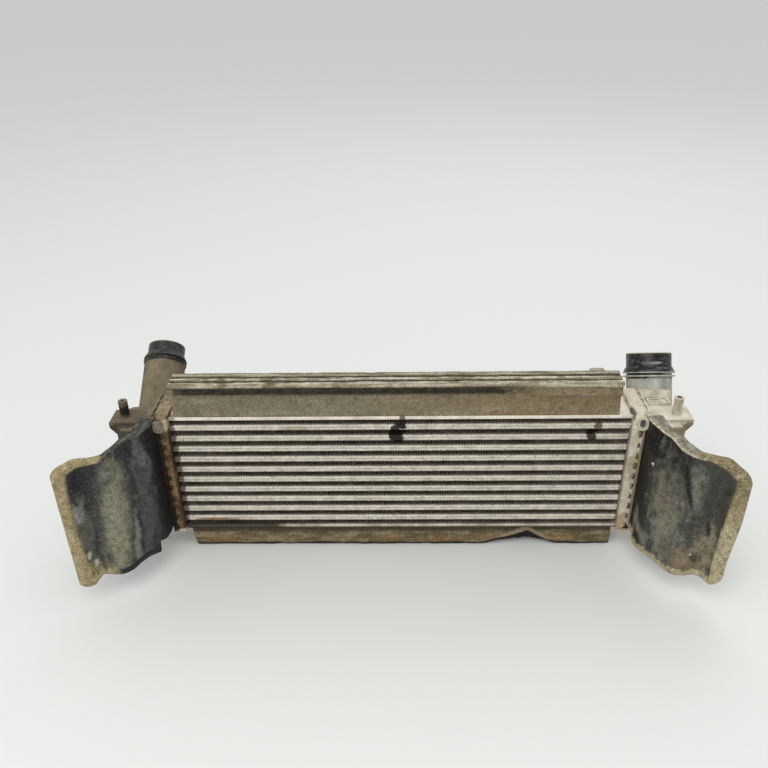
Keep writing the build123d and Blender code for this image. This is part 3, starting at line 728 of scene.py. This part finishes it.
# %% [markdown]
# ## Air guides
# The guides are moulded sheets that curve out from the trays. Each has a lip rolled outwards along its top,
# a thick rim at its free edge and a thicker bottom. They have warped and creased with age. Such a sheet is
# easiest to make as a grid: one direction runs along the bent plan, the other goes up the wall and over the
# lip. Its front and back skins are joined round the edge, where they draw together, so the rim looks rolled
# and not cut. The dust and wear are painted on in the same two directions, and so is some painted light
# and shade that follows the bends and creases.

# %% Guide path
GUIDE_PLAN = (
    (287.15, -26.6), (287.15, -62.0), (318.0, -109.0), (350.0, -112.0), (357.0, -125.0), (371.0, -131.5)
)
GUIDE_BENDS = (25.0, 16.0, 11.5, 11.5)
BEND_STEPS, GUIDE_STEPS = 10, 92


def bent_path(corners, bends):
    """Points of a path in plan whose corners are arcs of the given radii."""
    points = [Vector(corners[0])]
    for before, corner, after, bend in zip(corners, corners[1:], corners[2:], bends):
        enter = (Vector(corner) - Vector(before)).normalized()
        leave = (Vector(after) - Vector(corner)).normalized()
        half = enter.angle(leave) / 2
        start = Vector(corner) - enter * bend * tan(half)
        end = Vector(corner) + leave * bend * tan(half)
        centre = Vector(corner) + (leave - enter).normalized() * bend / cos(half)
        for step in range(BEND_STEPS + 1):
            ray = (start - centre) * (1 - step / BEND_STEPS) + (end - centre) * step / BEND_STEPS
            points.append(centre + ray.normalized() * bend)
    return points + [Vector(corners[-1])]


def spaced(points, count):
    """Evenly spaced (running length, place, outward normal) along a path."""
    lengths = [0.0]
    for near, far in zip(points, points[1:]):
        lengths.append(lengths[-1] + (far - near).length)
    places = []
    leg = 0
    for step in range(count + 1):
        reach = lengths[-1] * step / count
        while leg < len(points) - 2 and lengths[leg + 1] < reach:
            leg += 1
        along = (points[leg + 1] - points[leg]).normalized()
        place = points[leg] + along * (reach - lengths[leg])
        places.append((reach, place, Vector((-along.y, along.x))))
    return places


guide_columns = spaced(bent_path(GUIDE_PLAN, GUIDE_BENDS), GUIDE_STEPS)
GUIDE_LENGTH = guide_columns[-1][0]
print("guide runs in mm:", round(GUIDE_LENGTH, 1))

# %% Guide painting


def paint_guide(wear, run, level, lip, point):
    """Colour of a guide where it has run so far along its path, at this level, and so far over its lip."""
    rough = torn(point, 9)
    streak = torn(point, 6, 4)
    colour = linear(wear.base)
    for place, height, half_run, half_height, slant, tint, strength, ragged in wear.marks:
        off = run - place + slant * (level - height)
        reach = sqrt((off / half_run) ** 2 + ((level - height) / half_height) ** 2)
        soft = 0.45 * min(1.0, half_run / 8)
        cover = fade(reach + ragged * (0.6 * streak + 0.4 * rough), 0.9 - soft, 1.1 + soft)
        colour = mixed(colour, tint, strength * cover)
    rim = mixed(wear.rim, wear.rim_dark, 0.8 * ease(torn(point, 5), 0.05, 0.7))
    rim = mixed(rim, wear.rim_light, 0.8 * ease(-torn(point, 4), 0.1, 0.7))
    rim = mixed(rim, wear.rim_low, 0.7 * fade(level, 90, 160))
    above_low = level - between(run, wear.low)
    foot = ease(run + 4 * rough, wear.foot_from, wear.foot_from + 10)
    foot *= fade(above_low + 1.5 * rough, 7.0, 8.5)
    past_rim = run - between(level, wear.rim_from) + 0.8 * rough
    past_band = level - between(run, wear.band) + 0.8 * rough
    band = max(ease(past_rim, -0.8, 0.8), ease(past_band, -1.0, 1.0))
    inner_line = max(0.0, 1 - abs(past_rim) / 1.8, 1 - abs(past_band) / 1.6)
    inner_line *= fade(lip, 0, 0.1) * ease(level, 60, 120)
    near_tray = fade(run + 5 * rough, wear.lip_to, wear.lip_to + 12)
    blotch = noise.noise(Vector((run / 16, lip * 5, 2.0))) + 0.5 * torn(point, 5)
    lip_tone = mixed(rim, mixed(wear.lip, wear.lip_light, ease(blotch, -0.4, 0.5)), near_tray)
    if wear.lip_edge:
        lip_tone = mixed(lip_tone, wear.lip_edge, near_tray * fade(lip + 0.1 * rough, 0.25, 0.45))
    if wear.ledge:
        ledge = fade(above_low, 8.0, 9.5) * ease(run, 42.5, 44) * fade(run + 4 * rough, 98, 106)
        colour = mixed(colour, wear.ledge, ledge)
    colour = mixed(colour, rim, max(foot, band))
    colour = mixed(colour, wear.rim_dark, 0.6 * inner_line * (1 - foot))
    return mixed(colour, lip_tone, ease(lip, 0.02, 0.14))


# %% Guide mesh
GUIDE_SHEET = 2.5
LIP_RISES = ((0, 2.5), (40, 2.5), (68, 3.5), (90, 4), (105, 6), (118, 11), (160, 11))
LIP_RUNS = ((0, 18), (40, 22), (55, 20.7), (68, 15.8), (92, 12), (105, 7.5), (116, 3.5), (155, 1.5))
PANEL_ROWS, LIP_ROWS = 64, 12
RIM_START, RIM_ROUND, RIM_SWELL = 135, 137, 1.8


def corner_loss(past_tip, radius):
    """What a rounded corner of a guide takes off, at a place so far past its tip."""
    past = min(radius, max(0.0, past_tip + radius))
    return radius - sqrt(radius**2 - past**2)


def guide_warp(wear, run, level, point, band):
    """How far a guide has bulged: slow and quick waves, less of them in its stiff band, and creases."""
    warp = (0.9 * noise.noise(point / 34) + 0.35 * noise.noise(point / 8)) * (1 - 0.7 * band)
    for crease_run, low, high, slant, depth in wear.creases:
        off = run - crease_run + slant * (level - low)
        along = ease(level, low - 6, low + 8) * fade(level, high - 8, high + 6)
        warp += depth * max(0.0, 1 - abs(off) / 3.5) * along
    return warp * ease(run, 4, 16)


def guide_mesh(name, hand, wear):
    """A guide as a closed sheet with its wear, and some light and shade, painted on. hand is 1 for the right
    one and -1 for the left.
    """
    half = GUIDE_SHEET / 2
    tip = guide_columns[-1][1].x + half
    front_spots, back_spots, colours = [], [], []
    for run, place, outward in guide_columns:
        past_tip = place.x + half * outward.x - tip
        top = between(run, wear.crest) - corner_loss(past_tip, wear.corner)
        low = between(run, wear.low) + corner_loss(past_tip, wear.toe)
        lean_back = between(run, wear.leans)
        lip_run = between(run, LIP_RUNS) - lean_back
        lip_rise = between(run, LIP_RISES)
        for row in range(PANEL_ROWS + LIP_ROWS + 1):
            lip = max(0, row - PANEL_ROWS) / LIP_ROWS
            angle = lip * pi / 2
            level = low + (top - lip_rise - low) * min(row, PANEL_ROWS) / PANEL_ROWS
            level += (lip_rise - half) * sin(angle)
            rim_from = between(level, wear.rim_from)
            past_band = level - between(run, wear.band)
            band = max(ease(run, rim_from - 1.5, rim_from + 1.5), ease(past_band, -1.5, 1.5))
            lean = lean_back * ease(level, 158, 194) + (lip_run - half) * (1 - cos(angle))
            lean += guide_warp(wear, run, level, Vector((place.x * hand, place.y, level)), band)
            past_rim = min(1.0, (run - RIM_START) / (GUIDE_LENGTH - RIM_START))
            rim = RIM_SWELL * band * (1 if run < RIM_ROUND else max(0.0, sin(pi * past_rim)) ** 0.5)
            bead = ease(run, wear.foot_from, wear.foot_from + 10) * fade(level - low, 6.5, 8.5)
            swell = max(rim, wear.bead * bead) * fade(lip, 0.3, 0.8)
            thick = half + swell + 0.8 * ease(run, 90, 110) * sin(pi * lip)
            near_edge = min(run, GUIDE_LENGTH - run, (PANEL_ROWS + LIP_ROWS - row) * 0.9, row * 1.5)
            pinch = 0.5 + 0.5 * ease(near_edge, -0.5, 1.6)
            pull = wear.toe_pull * ease(run, 122, 151) * fade(level, 55, 135)
            middle = place + outward * lean - Vector((outward.y, -outward.x)) * pull
            colours.append(paint_guide(wear, run, level, lip, Vector((middle.x * hand, middle.y, level))))
            for spots, sign, reach in ((front_spots, -1, thick), (back_spots, 1, half)):
                flat = middle + outward * sign * reach * pinch * cos(angle)
                spots.append(Vector((flat.x * hand, flat.y, level - sign * half * pinch * sin(angle))))
    rows, columns = PANEL_ROWS + LIP_ROWS + 1, len(guide_columns)
    shape = bmesh.new()
    front, back = [[shape.verts.new(spot * MM) for spot in spots] for spots in (front_spots, back_spots)]
    for column in range(columns - 1):
        for corner in range(column * rows, column * rows + rows - 1):
            for spots in (front, back):
                shape.faces.new([spots[corner + step] for step in (0, rows, rows + 1, 1)])
    border = [column * rows for column in range(columns)]
    border += [(columns - 1) * rows + row for row in range(1, rows)]
    border += [column * rows + rows - 1 for column in range(columns - 2, -1, -1)]
    border += range(rows - 2, 0, -1)
    for here, after in zip(border, border[1:] + border[:1]):
        shape.faces.new((front[here], front[after], back[after], back[here]))
    bmesh.ops.recalc_face_normals(shape, faces=shape.faces)
    mesh = mesh_of(shape, name)
    mesh.shade_smooth()
    coat(mesh, colours + colours)
    return mesh


# %% [markdown]
# ### Form, wear and painted shading of each guide
# Runs start at the tray, and tables pair a place with a value. The crest and the low line are the sheet's
# top and bottom along its run, and the leans say how far its top leans back. The rim starts at a run that
# depends on the level, and the band below the crest at a level that depends on the run. Each mark is its
# run, level, half run, half level, slant, colour, strength and raggedness. Each crease is its run, its low
# and high levels, its slant and its depth.
# Some marks are not dirt. The first broad mark of each guide, where the panel turns sideways near the tray,
# is painted shade. The pale olive marks across the middle, which faces the light, are painted light with
# dust. The dark lines along the right guide's creases are painted shade.

# %% Guide wear and painted shading
GUIDE_WEAR_AND_SHADING = {
    "left": SimpleNamespace(
        base="#2D2E31", rim="#A19370", rim_dark="#8A7149", rim_light="#BBAE90", rim_low="#A89A76",
        ledge="#232221", lip="#33312D", lip_light="#68655A", lip_edge=None, lip_to=92,
        foot_from=100, bead=2.6, corner=17.0, toe=12.0, toe_pull=0.0,
        crest=((0, 198), (108, 198), (126, 201.5), (138, 202.5), (160, 202.5)),
        low=(
            (0, 42), (11, 37), (30, 42), (43, 47), (44.5, 31.5), (62, 36.5), (77, 37), (91, 35), (101, 32),
            (117, 36), (122, 37), (134, 30.5), (160, 30.5),
        ),
        leans=((0, 0), (15, 2), (30, 8), (45, 12), (68, 11), (83, 6), (97, 0)),
        rim_from=((30, 134), (76, 137.5), (121, 139.5), (156, 139.5), (188, 137)),
        band=((0, 400), (84, 400), (94, 198), (111, 192.5), (134.5, 189.5), (137, 187.5), (141, 180)),
        marks=(
            # The first mark is painted shade where the panel turns sideways; the pale olive ones in the
            # middle are painted light with dust.
            (18, 120, 20, 95, 0.0, "#161619", 0.95, 0.4), (52, 110, 13, 85, 0.1, "#575857", 0.8, 1.1),
            (92, 116, 18, 82, 0.114, "#706F64", 1.0, 0.5), (93, 100, 11, 72, 0.114, "#8B8770", 0.9, 0.8),
            (74, 70, 5, 36, 0.1, "#868780", 0.8, 0.9), (131, 100, 10, 52, 0.02, "#5F5F54", 0.9, 1.0),
            (134, 134, 6, 14, 0.05, "#8C8D85", 0.9, 0.9), (126, 172, 13, 14, 0.0, "#222327", 0.85, 0.5),
            (44, 172, 10, 13, 0.0, "#66676A", 0.5, 1.6), (147, 40, 30, 20, 0.0, "#9C8D68", 1.0, 0.25),
            (133.5, 73, 2.6, 5.0, 0.1, "#C6C2AF", 1.0, 0.1), (127, 57, 2.6, 5.0, 0.1, "#C0BCA9", 1.0, 0.1),
            (135, 47, 1.6, 1.6, 0.0, "#2A2118", 0.9, 0.1),
        ),
        creases=((108, 50, 180, 0.08, 0.8),),
    ),
    "right": SimpleNamespace(
        base="#44433F", rim="#8F8263", rim_dark="#6F5733", rim_light="#B9AD8F", rim_low="#BCB091",
        ledge=None, lip="#7E7A68", lip_light="#9F9986", lip_edge="#C6BBA1", lip_to=84,
        foot_from=-20, bead=2.0, corner=26.0, toe=20.0, toe_pull=5.0,
        crest=((0, 198), (160, 198)),
        low=(
            (0, 37), (22, 36.5), (25, 30), (50, 31.5), (80, 29.5), (102, 31), (112, 33.5), (119, 31.5),
            (130, 28.5), (160, 28.5),
        ),
        leans=((0, 0), (13, 2), (30, 8), (50, 8), (62, 3.5), (72, 0)),
        rim_from=((30, 134), (106, 133.5), (144, 136), (165, 137.5), (200, 137.5)),
        band=(
            (0, 400), (84, 400), (90, 199), (104, 193), (116.5, 186.5), (128.5, 182), (136, 179), (140, 168)
        ),
        marks=(
            # The first mark is painted shade where the panel turns sideways near the tray; the pale olive
            # ones in the middle are painted light with dust.
            (16, 110, 25, 95, 0.05, "#121113", 1.0, 0.5), (48, 182, 42, 22, -0.1, "#131212", 0.95, 0.5),
            (68, 106, 20, 60, 0.12, "#66665B", 0.95, 1.2), (70, 80, 15, 44, 0.1, "#827F6E", 0.9, 1.2),
            (62, 120, 8, 26, 0.1, "#7E7461", 0.6, 1.4), (97, 152, 9, 30, 0.05, "#77756A", 0.9, 1.2),
            (119, 140, 14, 46, 0.0, "#3E3D38", 0.8, 0.5), (98, 54, 24, 15, 0.0, "#8A7661", 0.9, 0.5),
            (78, 60, 10, 18, 0.1, "#5E5F52", 0.8, 0.8), (121, 70, 12, 32, 0.05, "#8A8069", 0.9, 1.1),
            (24, 64, 9, 17, 0.0, "#8A897C", 0.8, 1.6), (44, 54, 9, 9, 0.0, "#7E7E76", 0.7, 1.4),
            # The two dark lines along the creases: painted shade.
            (87, 158, 3.4, 30, 0.264, "#191817", 0.95, 0.5), (118, 101, 2.6, 12, 0.19, "#1D1B19", 0.9, 0.3),
            (110, 57, 5, 8, 0.0, "#33302B", 0.8, 0.8), (39, 156, 1.9, 1.6, 0.0, "#EDEDE6", 1.0, 0.1),
            (104, 62, 1.8, 1.4, 0.0, "#C9C5BA", 1.0, 0.1), (45, 180, 5, 8, 0.5, "#5A5A5C", 0.3, 1.5),
        ),
        creases=((87, 132, 184, 0.264, 1.8), (118, 92, 114, 0.19, 1.2)),
    ),
}

# %% Guides in place
# Moulded sheet, matt and grainy. Its grain is really under 1 mm, and is drawn coarser so that it shows.
for hand, side in ((1, "right"), (-1, "left")):
    finish = weathered(
        "moulded_rubber_" + side, ("#B2B2B0", "#EDEDEB", "#FFFFFF"), cloud=7, grain=1.6, grain_depth=0.65,
        rough=(0.5, 0.8), bump=0.5, painted=True, pits=(2.0, "#B9B4A4", 0.35, 0.14),
    )
    mesh = guide_mesh("guide_" + side, hand, GUIDE_WEAR_AND_SHADING[side])
    keep("guide_" + side, mesh, finish, [side + "_air_guide"])

# %% [markdown]
# ## Ears and push rivets
# A small ear of the guide lies on the front of each tray, and a push rivet goes through it. The ears have
# taken on the colour of the trays' dust, so they get a finish of their own.

# %% Ears and rivets
EAR_INNER, EAR_OUTER, EAR_FOOT, EAR_TOP = 275.0, 287.4, 181.5, 197.6
EAR_X, EAR_Z = 281.2, 189.5
EAR_DEPTHS = ((-33.05, 0.0), (-34.9, 0.0), (-35.4, 0.35))
small = dict(cloud=5, grain=0.8, grain_depth=0.15)
rivet_right = weathered("nylon_rivet_dark", ("#2F312C", "#4A4C45", "#63625A"), dust=("#7C7666", 0.5), **small)
rivet_left = weathered("nylon_rivet_grey", ("#5F5A50", "#827B6D", "#9A9283"), dust=("#A29A8A", 0.5), **small)
ear_tones = ("#A89E88", "#C3B9A3", "#D0C7B3")
ear_right = weathered("ear_under_cream_dust", ear_tones, cloud=7, grain=1.1, grain_depth=0.15)
ear_tones = ("#4E463B", "#857A68", "#A79C86")
ear_left = weathered("ear_under_brown_dust", ear_tones, cloud=7, grain=1.1, grain_depth=0.2)
outline = rounded([(EAR_INNER, EAR_FOOT), (EAR_OUTER, EAR_FOOT), (EAR_OUTER, EAR_TOP), (EAR_INNER, EAR_TOP)])
ears = (1, "right", ear_right, rivet_right), (-1, "left", ear_left, rivet_left)
for hand, side, ear_finish, rivet_finish in ears:
    stations = []
    for y, inset in EAR_DEPTHS:
        wide, tall = 1 - inset / 6, 1 - inset / 8
        shrunk = [(EAR_X + (x - EAR_X) * wide, EAR_Z + (z - EAR_Z) * tall) for x, z in outline]
        stations.append([(hand * x, y, z) for x, z in shrunk])
    keep("ear_" + side, skin("ear_" + side, stations), ear_finish, [side + "_air_guide"])
    rivet, node = "rivet_" + side, side + "_guide_rivet"
    keep(rivet, softened(rivet, node, 0.7, 30), rivet_finish, [node])

# %% [markdown]
# ## Foam seals
# Strips of foam above and below keep the wind from slipping past the core. Foam has no crisp edge, so both
# seals are skinned over many rounded sections, with a little noise that makes them uneven in the hand.
# Corners are rounded by cutting them again, which is quick and keeps every section's count of points equal.

# %% Foam strips
FOAM_STATIONS = 300
FOAM_LOWEST, FOAM_HIGHEST = 0.05, 249.15
noise.seed_set(1)  # noise_vector starts from the clock's time unless it is told where to start


def uneven(x, y, z, amount, size):
    """A point moved a little by noise. All values are in millimetres."""
    return Vector((x, y, z)) + noise.noise_vector(Vector((x, y, z)) / size) * amount


def foam_strip(name, start, end, section, cuts, end_shift, unevenness, paint):
    """A strip over the rounded sections at its stations, shifted near its ends, made uneven and painted."""
    stations = []
    for count in range(FOAM_STATIONS + 1):
        x = start + (end - start) * count / FOAM_STATIONS
        near_end = min(x - start, end - x)
        ring = []
        for y, z in rounded(section(x), cuts):
            spot = uneven(x + end_shift(x, z, near_end), y, z, *unevenness)
            spot.z = min(max(spot.z, FOAM_LOWEST), FOAM_HIGHEST)
            ring.append(spot)
        stations.append(ring)
    return skin(name, stations, paint)


def foam_finish(name, pit_tint):
    """Soft foam with painted dirt, light and shade: matt, coarse, and pitted in a darker colour."""
    return weathered(
        name, ("#CFCFCD", "#F0F0EE", "#FFFFFF"), cloud=5, grain=1.5, grain_depth=0.6, rough=(0.85, 1.0),
        bump=0.6, painted=True, pits=(1.8, pit_tint, 0.25, 0.4),
    )


# %% [markdown]
# ### Top seal
# The crest has three ribs with two grooves between them. Below it a nose leans over the front, with a hollow
# under it that is filled near the right end. The foot of the strip is flared a little wider than its top.

# %% Top seal
TOP_START, TOP_END, TOP_FLARE = -260.0, 251.0, 4.5
TOP_CREST, TOP_BASE, TOP_GROOVE = 249.0, 195.4, 245.6


def paint_top(point):
    """Cream on top, with painted highlights on the rib crests and painted shade in the grooves, olive and
    speckled in front, and painted shade in the hollow under the nose.
    """
    rough = torn(point, 10)
    streak = noise.noise(Vector((point.x / 45, point.y / 2.2, point.z / 3)))
    colour = mixed("#8A806A", "#B9AF99", ease(streak + 0.3 * rough, -0.35, 0.4))
    groove = min(abs(point.y + 31.2), abs(point.y + 21.2))
    ridge = min(abs(point.y + 36.3), abs(point.y + 26.2), abs(point.y + 15.5))
    # Pale rib crests, broken up by the streaks: painted highlights.
    colour = mixed(colour, "#D8D0BC", 0.75 * ease(streak + 0.4 * rough, -0.35, 0.25) * fade(ridge, 1.2, 2.8))
    colour = mixed(colour, "#5E5642", 0.5 * ease(point.y + 4 * rough, -22, -12))
    # Dark grooves between the ribs: painted shade.
    colour = mixed(colour, "#2B2519", 0.95 * fade(groove, 1.0, 2.9) * ease(point.z, 243.0, 244.5))
    colour = mixed(colour, "#4A4232", 0.7 * ease(point.y, -13.5, -11.5))
    for place, half, tall in ((-201, 17, 11), (-141, 17, 9)):
        reach = sqrt(((point.x - place) / half) ** 2 + ((point.y + 33) / tall) ** 2) + 0.9 * rough
        colour = mixed(colour, "#4F442E", 0.7 * fade(reach, 0.2, 1.3))
    face = mixed("#857E69", "#8C7B60", ease(point.x + 60 * rough, -120, 160))
    face = mixed(face, "#A89C84", 0.45 * ease(0.5 * rough + streak, 0.15, 0.6))
    face = mixed(face, "#5A503D", 0.35 * ease(-rough, 0.2, 0.8))
    face = mixed(face, "#2E271C", 0.8 * fade(point.z + rough, 195.5, 197.5))
    colour = mixed(colour, face, fade(point.y, -23.0, -20.0) * fade(point.z, 241.0, 243.0))
    # Painted shade in the hollow under the nose, left of where the hollow is filled.
    painted_shade_span = fade(point.x + 10 * rough, 105, 158) * fade(point.y, -15.0, -12.5)
    hollow = ease(point.z + 0.8 * rough, 225.5, 227.5) * fade(point.z, 245.2, 246.2)
    return mixed(colour, mixed("#4A463D", "#615C4F", ease(streak + rough, -0.4, 0.5)), painted_shade_span * hollow)


def top_section(x):
    """Section of the top seal from its foot in front, over the ribs, to its foot behind."""
    filled = ease(x, 118, 162)
    inner = -19.5 * (1 - filled) - 36.5 * filled
    return [
        (-25.2, TOP_BASE), (-25.3, 199.0), (-25.6 - 3 * filled, 222.0), (-25.0 - 6 * filled, 226.2),
        (inner, 230.5), (inner, 240.0), (-39.8, 243.4), (-41.1, 245.0), (-40.6, TOP_CREST - 0.6),
        (-38.0, TOP_CREST), (-33.6, TOP_CREST), (-31.2, TOP_GROOVE), (-28.8, TOP_CREST), (-23.6, TOP_CREST),
        (-21.2, TOP_GROOVE), (-18.8, TOP_CREST), (-11.5, TOP_CREST - 0.3), (-10.3, TOP_CREST - 2),
        (-10.3, TOP_BASE),
    ]


def top_shift(x, z, near_end):
    """The foot flares outwards at both ends. The flare fades above it and away from the ends."""
    return -TOP_FLARE * max(0, (240 - z) / 45) * max(0, 1 - near_end / 30) * (1 if x < 0 else -1)


top_finish = foam_finish("dusty_foam_top", "#3E3626")
top_mesh = foam_strip("foam_top", TOP_START, TOP_END, top_section, 2, top_shift, (0.45, 9), paint_top)
top_foam = keep("foam_top", top_mesh, top_finish, ["top_seal"])

# The small tab on the back of the seal, near its right end. It runs 2 mm into the seal.
TAB_LEFT, TAB_RIGHT, TAB_LOW, TAB_HIGH = 219.3, 236.7, 242.2, 247.6
tab_stations = []
for depth, pull in ((-12.3, 0.0), (-6.0, 0.0), (-2.6, 0.3), (-1.4, 1.4)):
    left, right, low, high = TAB_LEFT + pull, TAB_RIGHT - pull, TAB_LOW + pull, TAB_HIGH - pull
    outline = rounded([(left, low), (right, low), (right, high), (left, high)])
    tab_stations.append([(x, depth, z) for x, z in outline])
tab_mesh = skin("foam_tab", tab_stations, lambda point: linear("#A9A290"))
tab = keep("foam_tab", tab_mesh, top_finish, ["top_seal"])

# %% [markdown]
# ### Bottom seal
# The lower strip is a fold that stands on its two edges. Near the right it has buckled upwards in front.
# Behind its front roll the fold has a quarter of that rise, so that it is dark inside.

# %% Bottom seal
FOOT_END, FOOT_TOP = 268.0, 34.5
BUCKLE_AT, BUCKLE_RISE, BUCKLE_LEFT, BUCKLE_RIGHT = 161.0, 20.0, 58.0, 40.0
FOOT_SIDE = (
    (-20.6, 0), (-22.5, 0.04), (-23.1, 0.12), (-23.4, 0.22), (-23.5, 0.38), (-22.2, 0.55), (-20.4, 0.64),
    (-20.2, 0.7), (-21.2, 0.8), (-21.0, 1.0),
)


def buckle(x):
    """Share of the buckle's rise at a place along the seal."""
    return max(0.0, 1 - abs(x - BUCKLE_AT) / (BUCKLE_RIGHT if x > BUCKLE_AT else BUCKLE_LEFT)) ** 1.3


def paint_bottom(point):
    """Dark olive above, a lighter roll below with rusty streaks, a painted highlight on the buckle's ridge,
    painted shade in the crease over it and inside the fold, and a painted shadow where it meets the ground.
    """
    rough = torn(point, 10)
    streak = noise.noise(Vector((point.x / 30, point.y / 3, point.z / 2.5)))
    colour = mixed("#62563F", "#8C7F63", ease(streak + 0.4 * rough, -0.35, 0.5))
    colour = mixed(colour, "#4C4535", 0.9 * ease(point.z + 1.5 * rough, 20.0, 23.5))
    for place, half, level in ((-226, 20, 10), (-12, 16, 11), (60, 30, 9), (112, 16, 12), (205, 22, 13)):
        reach = sqrt(((point.x - place) / half) ** 2 + ((point.z - level) / 5.0) ** 2) + 0.6 * rough
        colour = mixed(colour, "#93744A", 0.5 * fade(reach, 0.3, 1.5))
    rise = buckle(point.x)
    above = point.z - BUCKLE_RISE * rise
    # Pale band along the buckle's ridge: a painted highlight.
    colour = mixed(colour, "#958A70", 0.9 * ease(rise, 0.1, 0.4) * fade(abs(above - 6.5), 2, 5))
    # Dark line in the crease over the buckle: painted shade.
    colour = mixed(colour, "#221C14", 0.7 * ease(rise, 0.15, 0.4) * fade(abs(point.z - 31.5), 0.8, 2.2))
    # Black inside the fold, between its two edges: painted shade.
    fold_inside_shade = ease(point.y, -21.5, -18.0) * fade(point.y, 18, 21.5) * fade(above, 0, 2)
    wave = 1.5 * noise.noise(Vector((point.x / 22, 7.0, 0.0)))
    # Black along the foot: a painted shadow where it meets the ground.
    contact_shadow = fade(above + wave + 0.4 * rough, 4.0 - rise, 5.6 - rise)
    return mixed(colour, "#14110C", max(0.95 * contact_shadow, fold_inside_shade))


def foot_section(x):
    """Section of the bottom seal: up its front side and down its back side, each from its inner edge."""
    lift = BUCKLE_RISE * buckle(x)
    low = 0.3 + lift + 1.1 * max(0.0, noise.noise(Vector((x / 40, 3.0, 0.0))) + 0.2)
    inside = low - 0.75 * lift
    front, back = [
        [(inner * -side, inside)] + [(y * side, under + (FOOT_TOP - under) * share) for y, share in FOOT_SIDE]
        for side, inner, under in ((1, 16.6, low), (-1, 12.0, inside))
    ]
    return front + back[::-1]


def foot_shift(x, z, near_end):
    """Both ends are drawn in below, the left one by 7 mm and the right one by 2 mm."""
    return (7 if x < 0 else -2) * (1 - z / 34) * max(0, 1 - near_end / 14)


foot_finish = foam_finish("dusty_foam_bottom", "#2E2718")
foot_ends = -FOOT_END, FOOT_END
foot_mesh = foam_strip("foam_bottom", *foot_ends, foot_section, 1, foot_shift, (0.6, 11), paint_bottom)
foot_foam = keep("foam_bottom", foot_mesh, foot_finish, ["bottom_seal"])
